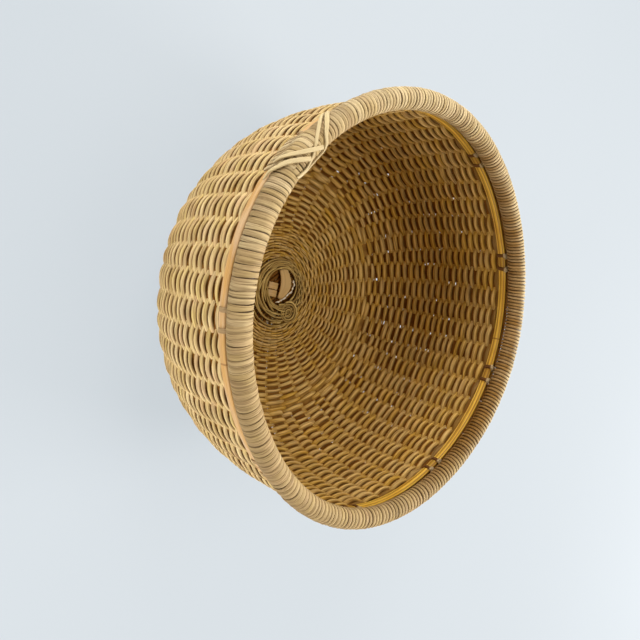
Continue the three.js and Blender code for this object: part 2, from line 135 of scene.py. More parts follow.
class ShaderGraph:
    """The node tree of a material or world, filled by one node-making method."""

    def __init__(self, name: str, world: bpy.types.World | None = None) -> None:
        """Start with an empty tree.

        Args:
            name: The material's name.
            world: The world, if the tree isn't a new material's.
        """
        self.owner = world or bpy.data.materials.new(name)
        self.owner.use_nodes = True
        self.tree = self.owner.node_tree
        self.tree.nodes.clear()

    def node(
        self,
        kind: str,
        settings: dict[str, object] | None = None,
        inputs: dict[int | str, object] | None = None,
        output: int | str = 0,
    ) -> Sock:
        """Add a node, set it and link it.

        Args:
            kind: The node's type.
            settings: Properties that are set first.
            inputs: A value or a link for each named or numbered socket.
            output: The output that is handed on.

        Returns:
            That output.
        """
        made = self.tree.nodes.new(kind)
        for key, value in (settings or {}).items():
            setattr(made, key, value)
        for key, value in (inputs or {}).items():
            if isinstance(value, Sock):
                self.tree.links.new(value.socket, made.inputs[key])
            else:
                made.inputs[key].default_value = value
        return Sock(self, made.outputs[output])

    def mix(self, share: Sock | float, first: Sock | Colour, second: Sock | Colour) -> Sock:
        """Mix two colours by the second one's share."""
        inputs = {"Factor": share, 6: opaque(first), 7: opaque(second)}
        return self.node("ShaderNodeMix", {"data_type": "RGBA"}, inputs, 2)

    def noise(self, vector: Sock, scale: float, detail: float = 2.0) -> Sock:
        """Add a noise texture, a value about 0.5, that is read at a vector."""
        return self.node("ShaderNodeTexNoise", {}, {"Vector": vector, "Scale": scale, "Detail": detail})

    def stretched(self, vector: Sock, scale: Colour) -> Sock:
        """Scale a vector by its axes."""
        return self.node("ShaderNodeVectorMath", {"operation": "MULTIPLY"}, {0: vector, 1: scale})

    def attribute(self, name: str) -> Sock:
        """Read a value that a mesh holds at its points."""
        return self.node("ShaderNodeAttribute", {"attribute_name": name}, {}, "Fac")

    def bump(self, height: Sock, strength: float, distance: float = 1.0 * MM) -> Sock:
        """Bump the surface: distance is the length of a height of 1."""
        inputs = {"Height": height, "Strength": strength, "Distance": distance}
        return self.node("ShaderNodeBump", {}, inputs)

    def principled(self, colour: Sock | Colour, roughness: Sock, normal: Sock, specular: float) -> Sock:
        """Add a matt shader with one specular level all over."""
        varied = {"Base Color": opaque(colour), "Roughness": roughness, "Normal": normal}
        return self.node("ShaderNodeBsdfPrincipled", {}, {**varied, "Specular IOR Level": specular})

    def close(self, shader: Sock, kind: str = "ShaderNodeOutputMaterial") -> bpy.types.ID:
        """Link a shader to the tree's output.

        Args:
            shader: The shader.
            kind: The output's type.

        Returns:
            The finished material or world.
        """
        end = self.tree.nodes.new(kind)
        self.tree.links.new(shader.socket, end.inputs["Surface"])
        return self.owner


def opaque(value: Sock | Colour) -> object:
    """Give a plain colour an alpha of 1, and leave a link as it is."""
    return value if isinstance(value, Sock) else (*value, 1.0)


# Finishes


@dataclass(frozen=True)
class StrandFinish:
    """Dry split grass: fibres along the strand, uneven tone, and painted shade from its deep value, such
    as where it dives into the wall.
    """

    name: str
    outward: Colour
    inward: Colour
    pale: Colour
    # deep: the colour of the fibre streaks and of painted shade
    deep: Colour
    rosy: Colour = (0.60, 0.36, 0.20)
    yellow: Colour = (0.62, 0.46, 0.13)
    pale_share: float = 0.55
    pale_inside: float = 1.0
    hue_share: float = 0.45
    hue_band: tuple[float, float] = (0.50, 0.68)
    hue_scale: Colour = (0.55, 0.25, 1.0)
    patch_scale: Colour = (0.35, 0.8, 1.0)
    fibres_round: float = 9.0
    fibre_reach: float = 0.55
    streak_depth: float = 0.45
    bump: float = 0.5
    bump_height: float = 0.35 * MM
    roughness: float = 0.62
    fibre_roughness: float = 0.22
    specular: float = 0.18

    def material(self) -> bpy.types.Material:
        """Make the material.

        Returns:
            The material, which reads the strand's UV map and its tone, facing and deep values.
        """
        graph = ShaderGraph(self.name)
        uv = graph.node("ShaderNodeUVMap", {"uv_map": STRAND_UV})
        fibres = graph.noise(graph.stretched(uv, (self.fibre_reach, self.fibres_round, 1.0)), 1.0, 3.0)
        patches = graph.noise(graph.stretched(uv, self.patch_scale), 1.0)
        facing = graph.attribute("facing").band(-0.6, 0.6)
        tone = graph.attribute("tone")
        base = graph.mix(facing, self.inward, self.outward)
        paler = (tone * 0.75 + patches * 0.5 - 0.1).band(0.15, 0.95)
        paler = paler * (self.pale_inside + (1.0 - self.pale_inside) * facing)
        base = graph.mix(paler * self.pale_share, base, self.pale)
        hue = graph.noise(graph.stretched(uv, self.hue_scale), 1.0, 1.0)
        coloured = (0.25 + 0.75 * facing) * self.hue_share
        base = graph.mix(hue.band(*self.hue_band) * coloured, base, self.rosy)
        base = graph.mix((1.0 - hue).band(*self.hue_band) * coloured, base, self.yellow)
        streak = fibres.band(0.30, 0.62)
        base = graph.mix((1.0 - streak) * self.streak_depth, base, self.deep)
        # painted shade: the deep value darkens the colour where shade would fall
        base = graph.mix(graph.attribute("deep"), base, self.deep)
        rough = self.roughness + self.fibre_roughness * fibres
        lift = graph.bump(fibres, self.bump, self.bump_height)
        return graph.close(graph.principled(base, rough, lift, self.specular))


@dataclass(frozen=True)
class CaneFinish:
    """Split cane with a satin skin: long grain and grooves, cloudy patches and dark joints."""

    name: str
    skin: Colour
    patch: Colour
    grain: Colour
    patch_share: float = 0.7
    grain_along: float = 0.22
    grain_across: float = 16.0
    grain_depth: float = 0.5
    cloud_scale: Colour = (0.3, 0.9, 1.0)
    grooves: float = 0.0
    groove_depth: float = 0.65
    groove_stray: float = 0.12
    joints: tuple[float, ...] = ()
    joint_half: float = 0.05
    joint_depth: float = 0.85
    bump: float = 0.6
    bump_height: float = 0.4 * MM
    roughness: float = 0.42
    grain_roughness: float = 0.25
    specular: float = 0.35

    def material(self) -> bpy.types.Material:
        """Make the material.

        Returns:
            The material, which reads the cane's UV map and has its joints at degrees round the rim.
        """
        graph = ShaderGraph(self.name)
        uv = graph.node("ShaderNodeUVMap", {"uv_map": STRAND_UV})
        grain = graph.noise(graph.stretched(uv, (self.grain_along, self.grain_across, 1.0)), 1.0, 3.0)
        cloud = graph.noise(graph.stretched(uv, self.cloud_scale), 1.0)
        base = graph.mix(cloud.band(0.38, 0.62) * self.patch_share, self.skin, self.patch)
        base = graph.mix((1.0 - grain.band(0.28, 0.60)) * self.grain_depth, base, self.grain)
        along = graph.node("ShaderNodeSeparateXYZ", {}, {0: uv}, "X")
        height = grain * 0.5
        if self.grooves:
            across = graph.node("ShaderNodeSeparateXYZ", {}, {0: uv}, "Y")
            phase = (across + cloud * self.groove_stray) * (self.grooves * TURN)
            ridge = phase.math("SINE", phase).band(-0.9, 0.3)
            base = graph.mix((1.0 - ridge) * self.groove_depth, base, self.grain)
            height = height + ridge
        for joint in self.joints:
            line = {0: along, 1: math.radians(joint) * RIM_RADIAN, 2: self.joint_half}
            near = graph.node("ShaderNodeMath", {"operation": "COMPARE"}, line)
            base = graph.mix(near * self.joint_depth, base, self.grain)
        # painted shade: the deep value darkens the cane toward its grain colour
        base = graph.mix(graph.attribute("deep"), base, self.grain)
        rough = self.roughness + self.grain_roughness * grain
        lift = graph.bump(height, self.bump, self.bump_height)
        return graph.close(graph.principled(base, rough, lift, self.specular))


@dataclass(frozen=True)
class FloorFinish:
    """Plain pale paper that stays bright to the eye and grey to the light that it throws back."""

    name: str
    colour: Colour
    thrown: Colour = (0.50, 0.50, 0.50)
    bright_share: float = 0.8
    glossy_share: float = 0.5
    mottle_gain: float = 1.03

    def material(self) -> bpy.types.Material:
        """Make the material.

        Returns:
            The material, with the faintest mottling.
        """
        graph = ShaderGraph(self.name)
        place = graph.node("ShaderNodeTexCoord", {}, {}, "Object")
        mottle = graph.noise(place, 3.0)
        paler = tuple(min(1.0, self.mottle_gain * level) for level in self.colour)
        seen = graph.mix(mottle, self.colour, paler)
        lift = graph.bump(mottle, 0.02)
        paper = graph.principled(self.thrown, 0.85 + 0.05 * mottle, lift, 0.1)
        glow = graph.node("ShaderNodeEmission", {}, {"Color": seen, "Strength": 1.0})
        eye = graph.node("ShaderNodeLightPath", {}, {}, "Is Camera Ray")
        eye = eye + graph.node("ShaderNodeLightPath", {}, {}, "Is Glossy Ray") * self.glossy_share
        eye = eye + graph.node("ShaderNodeLightPath", {}, {}, "Is Transmission Ray")
        both = graph.node("ShaderNodeMixShader", {}, {0: eye * self.bright_share, 1: paper, 2: glow})
        return graph.close(both)


WEAVE_FINISH = StrandFinish(
    name="weave_grass",
    outward=(0.65, 0.46, 0.19),
    # inward: the inside's colour, partly the grass's own and partly painted warm shade of the bowl's
    # inside
    inward=(0.66, 0.375, 0.045),
    pale=(0.86, 0.68, 0.37),
    deep=(0.11, 0.042, 0.005),
    pale_share=0.66,
    pale_inside=0.65,
    fibres_round=12.0,
    streak_depth=0.58,
    specular=0.12,
)
WRAP_FINISH = StrandFinish(
    name="wrap_grass",
    outward=(0.46, 0.325, 0.15),
    # inward: painted shade, the dark brown given to the rim's inner side
    inward=(0.28, 0.14, 0.028),
    pale=(0.78, 0.62, 0.36),
    deep=(0.08, 0.036, 0.007),
    pale_share=0.75,
    pale_inside=0.4,
    hue_share=0.15,
    fibres_round=18.0,
    fibre_reach=0.45,
    streak_depth=0.65,
    bump=0.8,
)
BINDING_FINISH = StrandFinish(
    name="binding_grass",
    outward=(0.53, 0.41, 0.21),
    inward=(0.50, 0.38, 0.19),
    pale=(0.66, 0.55, 0.33),
    deep=(0.22, 0.125, 0.04),
    hue_share=0.1,
    fibres_round=8.0,
    fibre_reach=0.3,
    streak_depth=0.3,
)
STAKE_FINISH = StrandFinish(
    name="stake_grass",
    # painted shade: dark browns that stand for the shade in the slots between strands
    outward=(0.25, 0.12, 0.022),
    inward=(0.26, 0.11, 0.018),
    pale=(0.62, 0.38, 0.09),
    deep=(0.10, 0.030, 0.003),
    hue_share=0.0,
    specular=0.05,
)
COIL_FINISH = StrandFinish(
    name="coil_grass",
    outward=(0.46, 0.30, 0.085),
    inward=(0.46, 0.30, 0.085),
    pale=(0.84, 0.61, 0.21),
    deep=(0.075, 0.03, 0.005),
    pale_share=0.7,
    hue_share=0.2,
)
# painted light: near-white beads that stand for light showing through the slit beside the strip
SLIT_LIGHT_FINISH = StrandFinish(
    name="painted_slit_light",
    outward=(0.88, 0.80, 0.62),
    inward=(0.86, 0.78, 0.60),
    pale=(0.92, 0.86, 0.72),
    deep=(0.62, 0.50, 0.32),
    hue_share=0.0,
    streak_depth=0.2,
)
LASHING_FINISH = StrandFinish(
    name="lashing_grass",
    outward=(0.40, 0.27, 0.13),
    inward=(0.13, 0.052, 0.012),
    pale=(0.60, 0.45, 0.24),
    deep=(0.06, 0.025, 0.007),
    pale_share=0.85,
    hue_share=0.0,
)
OUTER_CANE = CaneFinish(
    name="hoop_cane_outside",
    skin=(0.57, 0.38, 0.20),
    patch=(0.56, 0.29, 0.05),
    grain=(0.28, 0.13, 0.035),
    joints=(-71.75, -42.5),
)
INNER_CANE = CaneFinish(
    name="hoop_cane_inside",
    skin=(0.82, 0.51, 0.07),
    patch=(0.68, 0.36, 0.03),
    grain=(0.20, 0.08, 0.006),
    grain_across=7.0,
    grooves=2.0,
    joints=(87.75,),
    roughness=0.36,
)
STRIP_CANE = CaneFinish(
    name="strip_cane", skin=(0.60, 0.40, 0.16), patch=(0.53, 0.31, 0.095), grain=(0.32, 0.16, 0.045)
)
# painted shade: dark colours for the bundle, which shows only in the gaps between turns
CORE_FINISH = CaneFinish(
    name="core_cane", skin=(0.16, 0.085, 0.027), patch=(0.12, 0.06, 0.018), grain=(0.05, 0.022, 0.006)
)
FLOOR_FINISH = FloorFinish(name="pale_paper", colour=(0.67, 0.74, 0.795))


# Numbers and directions


def ramp(value: np.ndarray | float, start: float, run: float) -> np.ndarray:
    """Rise evenly from 0 at a start to 1 at the end of a run."""
    return np.clip((value - start) / run, 0.0, 1.0)


def smooth(share: np.ndarray) -> np.ndarray:
    """Ease a share of 0 to 1 at both ends."""
    return share * share * (3.0 - 2.0 * share)


def unit(vectors: np.ndarray) -> np.ndarray:
    """Scale vectors to length 1."""
    return vectors / np.maximum(np.linalg.norm(vectors, axis=-1, keepdims=True), 1e-12)


def polar(radius: np.ndarray, angle: np.ndarray, height: np.ndarray) -> np.ndarray:
    """Turn cylindrical coordinates into points."""
    return np.stack([radius * np.cos(angle), radius * np.sin(angle), height], -1)


def outward(angle: np.ndarray) -> np.ndarray:
    """Give the level direction away from the axis at each angle."""
    return polar(np.ones_like(angle), angle, np.zeros_like(angle))


def edges(sides: int, power: float) -> np.ndarray:
    """Give how near each side of a section lies to a strand's two edges, from 0 to 1."""
    return np.abs(np.cos(np.arange(sides) / sides * TURN)) ** power


def cut_corners(points: np.ndarray, passes: int) -> np.ndarray:
    """Cut the corners of a run of points.

    Args:
        points: Points in any number of dimensions.
        passes: How many times each corner is cut.

    Returns:
        More points, with the same two ends.
    """
    for _ in range(passes):
        head, tail = points[:-1], points[1:]
        cut = np.stack([0.75 * head + 0.25 * tail, 0.25 * head + 0.75 * tail], 1)
        points = np.concatenate([points[:1], cut.reshape(-1, points.shape[1]), points[-1:]])
    return points


# The bowl's own curves


@dataclass(frozen=True)
class Bowl:
    """The side's curve, which every layer of the wall follows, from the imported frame."""

    rim_radius: float
    rim_height: float
    wall_radius: float
    base_radius: float
    wall_middle: float = 2.55 * MM
    squareness: float = 3.3

    @classmethod
    def from_frame(cls, base_radius: float) -> "Bowl":
        """Read the bowl's sizes off the rim core and the outer weave.

        Args:
            base_radius: Radius of the flat underside.

        Returns:
            The bowl.
        """
        low, high = (Vector(corner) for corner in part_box("rim_core"))
        core_radius = (high.z - low.z) / 2
        wall_radius = cls._wall_radius(base_radius, (high.z + low.z) / 2)
        return cls(high.x - core_radius, (high.z + low.z) / 2, wall_radius, base_radius)

    @classmethod
    def _wall_radius(cls, base_radius: float, depth: float) -> float:
        """Take the wall's radius in the rim's plane from the top edge of the outer weave.

        Args:
            base_radius: Radius of the flat underside.
            depth: Height of the rim's centre line.

        Returns:
            The radius where the side's curve stands upright.
        """
        _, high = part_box("outer_weave")
        drop = (depth - high[2]) / depth
        across = (1.0 - drop ** cls.squareness) ** (1.0 / cls.squareness)
        return base_radius + (high[0] - base_radius) / across

    def t_at_drop(self, drop: float) -> float:
        """Find a drop below the rim's centre line on the side's curve."""
        return math.asin((drop / self.rim_height) ** (self.squareness / 2))

    def wall(self, t: np.ndarray, inset: np.ndarray | float) -> np.ndarray:
        """Give points of the side's curve, moved inwards.

        Args:
            t: 0 in the rim's plane, a quarter turn at the base.
            inset: Distance in from the outer face.

        Returns:
            Radius, height, and the outward normal's two parts, in columns.
        """
        power = 2.0 / self.squareness
        run = self.wall_radius - self.base_radius
        cosine = np.clip(np.cos(t), 0.0, 1.0)
        sine = np.clip(np.sin(t), 0.0, 1.0)
        normal = np.stack([cosine ** (2 - power) / run, -(sine ** (2 - power)) / self.rim_height], -1)
        normal /= np.linalg.norm(normal, axis=-1, keepdims=True)
        radius = self.base_radius + run * cosine**power - normal[..., 0] * inset
        height = self.rim_height * (1 - sine**power) - normal[..., 1] * inset
        return np.stack([radius, height, normal[..., 0], normal[..., 1]], -1)

    def climb_table(self) -> tuple[np.ndarray, np.ndarray]:
        """Measure the middle of the wall from the edge of the flat base upwards.

        Returns:
            Rising lengths and the t of each.
        """
        t = np.linspace(math.pi / 2, 0.0, 4001)
        points = self.wall(t, self.wall_middle)[:, :2]
        steps = np.linalg.norm(np.diff(points, axis=0), axis=1)
        return np.concatenate([[0.0], np.cumsum(steps)]), t

    def climb_to_t(self, climb: np.ndarray) -> np.ndarray:
        """Find t for lengths measured up the wall."""
        lengths, t = self.climb_table()
        return np.interp(climb, lengths, t)

    def t_to_climb(self, t: float) -> float:
        """Find the length measured up the wall for one t."""
        lengths, table = self.climb_table()
        return float(np.interp(-t, -table, lengths))

    def at_climb(self, climb: np.ndarray, inset: np.ndarray) -> np.ndarray:
        """Give wall points by length up the wall; a negative length lies on the flat base.

        Args:
            climb: Lengths from the edge of the flat base.
            inset: Distance in from the outer face.

        Returns:
            Radius, height and normal, as wall gives them.
        """
        points = self.wall(self.climb_to_t(np.maximum(climb, 0.0)), inset)
        points[..., 0] += np.minimum(climb, 0.0)
        return points


@dataclass(frozen=True)
class OutOfRound:
    """How far the upper wall and the rim stray from a true circle."""

    from_height: float = 70.0 * MM
    full_height: float = 130.0 * MM
    lean: float = 1.3 * MM
    lean_angle: float = math.radians(115.0)
    wave: float = 0.9 * MM
    wave_count: int = 4
    wave_angle: float = math.radians(-100.0)

    def bend(self, points: np.ndarray) -> np.ndarray:
        """Move points outwards or inwards by their direction and height.

        Args:
            points: Points of a piece.

        Returns:
            The moved points.
        """
        angle = np.arctan2(points[:, 1], points[:, 0])
        share = smooth(ramp(points[:, 2], self.from_height, self.full_height - self.from_height))
        out = self.lean * np.cos(angle - self.lean_angle)
        out = out + self.wave * np.cos(self.wave_count * (angle - self.wave_angle))
        moved = points.copy()
        moved += (share * out)[:, None] * outward(angle)
        return moved


OUT_OF_ROUND = OutOfRound()


@dataclass(frozen=True)
class StakePlan:
    """Where the stakes stand: even at the base, leaning to make room for those let in higher up."""

    bowl: Bowl
    base_stakes: int = 36
    added_stakes: int = 19
    weave_top_drop: float = 16.2 * MM
    wall_steps: int = 9
    added_step: int = 3

    @property
    def places(self) -> int:
        """Count the stakes at the rim."""
        return self.base_stakes + self.added_stakes

    @property
    def top_t(self) -> float:
        """Give the t of the weave's top edge."""
        return self.bowl.t_at_drop(self.weave_top_drop)

    @property
    def added_t(self) -> float:
        """Give the t where the added stakes start."""
        share = self.added_step / self.wall_steps
        return math.pi / 2 + (self.top_t - math.pi / 2) * share

    def rim_place(self, stake: int) -> int:
        """Give a base stake's place among all the stakes at the rim."""
        return stake + (stake * self.added_stakes) // self.base_stakes

    def base_angle(self, stake: int, t: np.ndarray) -> np.ndarray:
        """Give a base stake's direction.

        Args:
            stake: Its number at the base, which may pass a full turn.
            t: Where on the side's curve.

        Returns:
            Its direction there.
        """
        rounds, number = divmod(stake, self.base_stakes)
        at_base = number / self.base_stakes * TURN
        at_rim = (self.rim_place(number) + 0.5) / self.places * TURN
        climb = 1.0 - smooth(ramp(t, self.top_t, self.added_t - self.top_t))
        return at_base + (at_rim - at_base) * climb + rounds * TURN

    def neighbours(self) -> list[tuple[int, float]]:
        """List the stakes at the rim in order.

        Returns:
            For each place, the base stake before it and its share of the way to the next one.
        """
        listed = []
        for stake in range(self.base_stakes):
            after = self.places if stake + 1 == self.base_stakes else self.rim_place(stake + 1)
            count = after - self.rim_place(stake)
            listed.extend((stake, step / count) for step in range(count))
        return listed

    def place_angle(self, place: int, t: np.ndarray) -> np.ndarray:
        """Give the direction of the stake at a place on the rim.

        Args:
            place: Its place, which may pass a full turn.
            t: Where on the side's curve.

        Returns:
            Its direction there.
        """
        rounds, number = divmod(place, self.places)
        stake, share = self.neighbours()[number]
        first = self.base_angle(stake, t)
        return first + (self.base_angle(stake + 1, t) - first) * share + rounds * TURN


# Strands as computed meshes


@dataclass
class StrandMesh:
    """Gathers lofted strands into one mesh with a UV map and point values."""

    points: list[np.ndarray] = field(default_factory=list)
    faces: list[np.ndarray] = field(default_factory=list)
    maps: list[np.ndarray] = field(default_factory=list)
    values: dict[str, list[np.ndarray]] = field(default_factory=dict)
    caps: list[list[int]] = field(default_factory=list)
    count: int = 0

    def add(self, rings: np.ndarray, closed: bool = False, **values: np.ndarray | float) -> None:
        """Skin a run of rings.

        Args:
            rings: Points as (ring, side, xyz).
            closed: Whether the last ring joins the first; otherwise both ends are capped.
            values: For each named value one number, one a ring or one a point.
        """
        ring_count, sides, _ = rings.shape
        spans = ring_count if closed else ring_count - 1
        ring = np.arange(spans)[:, None]
        side = np.arange(sides)[None, :]
        here, there = ring * sides, (ring + 1) % ring_count * sides
        beside = (side + 1) % sides
        quads = np.stack([here + side, here + beside, there + beside, there + side], -1)
        self.points.append(rings.reshape(-1, 3))
        self.faces.append(quads.reshape(-1, 4) + self.count)
        self.maps.append(self._unrolled(rings, spans))
        for name, value in values.items():
            column = value if np.ndim(value) == 2 else np.reshape(value, (-1, 1))
            spread = np.broadcast_to(column, (ring_count, sides))
            self.values.setdefault(name, []).append(spread.reshape(-1))
        if not closed:
            last = self.count + (ring_count - 1) * sides
            self.caps.append([self.count + step for step in reversed(range(sides))])
            self.caps.append([last + step for step in range(sides)])
        self.count += ring_count * sides

    @staticmethod
    def _unrolled(rings: np.ndarray, spans: int) -> np.ndarray:
        """Map the faces by length along the strand and share of the way round it.

        Args:
            rings: Points as (ring, side, xyz).
            spans: Steps from ring to ring, with the closing one if there is one.

        Returns:
            Rows of u and v, four a face.
        """
        sides = rings.shape[1]
        centres = rings.mean(axis=1)
        steps = np.linalg.norm(np.roll(centres, -1, axis=0) - centres, axis=1)[:spans]
        along = np.concatenate([[0.0], np.cumsum(steps)]) / UV_LENGTH
        share = np.arange(sides + 1) / sides
        corners = np.empty((spans, sides, 4, 2))
        corners[..., 0] = np.stack([along[:-1], along[:-1], along[1:], along[1:]], -1)[:, None, :]
        corners[..., 1] = np.stack([share[:-1], share[1:], share[1:], share[:-1]], -1)
        return corners.reshape(-1, 2)

    def piece(self, name: str, material: bpy.types.Material) -> bpy.types.Object:
        """Make the object.

        Args:
            name: The piece's name.
            material: Its finish.

        Returns:
            The object, shaded smooth.
        """
        mesh = bpy.data.meshes.new(name)
        quads = np.concatenate(self.faces)
        maps = np.concatenate(self.maps)
        points = OUT_OF_ROUND.bend(np.concatenate(self.points))
        mesh.from_pydata(points, [], quads.tolist() + self.caps)
        layer = mesh.uv_layers.new(name=STRAND_UV)
        uv = np.zeros((len(mesh.loops), 2))
        uv[: len(maps)] = maps
        layer.data.foreach_set("uv", uv.reshape(-1))
        for key, parts in self.values.items():
            store = mesh.attributes.new(key, "FLOAT", "POINT")
            store.data.foreach_set("value", np.concatenate(parts).astype(np.float32))
        mesh.polygons.foreach_set("use_smooth", np.ones(len(mesh.polygons), dtype=bool))
        mesh.materials.append(material)
        mesh.validate()
        mesh.update()
        piece = bpy.data.objects.new(name, mesh)
        bpy.context.scene.collection.objects.link(piece)
        return piece


def rings_along(
    path: np.ndarray,
    across: np.ndarray | Place,
    half_width: np.ndarray | float,
    half_depth: np.ndarray | float,
    sides: int,
    squareness: np.ndarray | float = 1.0,
) -> np.ndarray:
    """Set an oval section along a path. What comes after the path is one value or one a point.

    Args:
        path: Centre points.
        across: The direction that the section's width follows.
        half_width: Half the width.
        half_depth: Half the depth.
        sides: Points in a section.
        squareness: Power on the oval, where less than 1 is squarer.

    Returns:
        Rings of points, wound so that faces point outwards.
    """
    count = len(path)
    tangent = unit(np.gradient(path, axis=0))
    across = np.broadcast_to(across, path.shape)
    wide = unit(across - tangent * np.sum(across * tangent, axis=1, keepdims=True))
    deep = np.cross(tangent, wide)
    angle = np.arange(sides) / sides * TURN
    power = np.broadcast_to(squareness, count)[:, None]
    x = np.sign(np.cos(angle)) * np.abs(np.cos(angle)) ** power
    y = np.sign(np.sin(angle)) * np.abs(np.sin(angle)) ** power
    x = x * np.broadcast_to(half_width, count)[:, None]
    y = y * np.broadcast_to(half_depth, count)[:, None]
    return path[:, None, :] + wide[:, None, :] * x[..., None] + deep[:, None, :] * y[..., None]


def settle(piece: bpy.types.Object, slot: Slot, *nodes: str) -> None:
    """Let a piece ride on the basket's body and stand for its CAD nodes.

    Args:
        piece: The piece, in place.
        slot: Not used.
        nodes: CAD nodes that it replaces.
    """
    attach(piece, BODY)
    if nodes:
        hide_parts(*nodes)
    LOG.info("%s: %d faces", piece.name, len(piece.data.polygons))


# Sub-assemblies


@dataclass
class Assembly:
    """A sub-assembly of the basket, with its own source of unevenness."""

    bowl: Bowl
    seed: ClassVar[int] = 0

    def __post_init__(self) -> None:
        """Start the source of unevenness."""
        self.random = np.random.default_rng(self.seed)

    def uneven(self, at: np.ndarray, knots: np.ndarray, middle: float, spread: float) -> np.ndarray:
        """Draw a value at each knot, and join them by straight lines to read them at other places."""
        return np.interp(at, knots, self.random.normal(middle, spread, len(knots)))


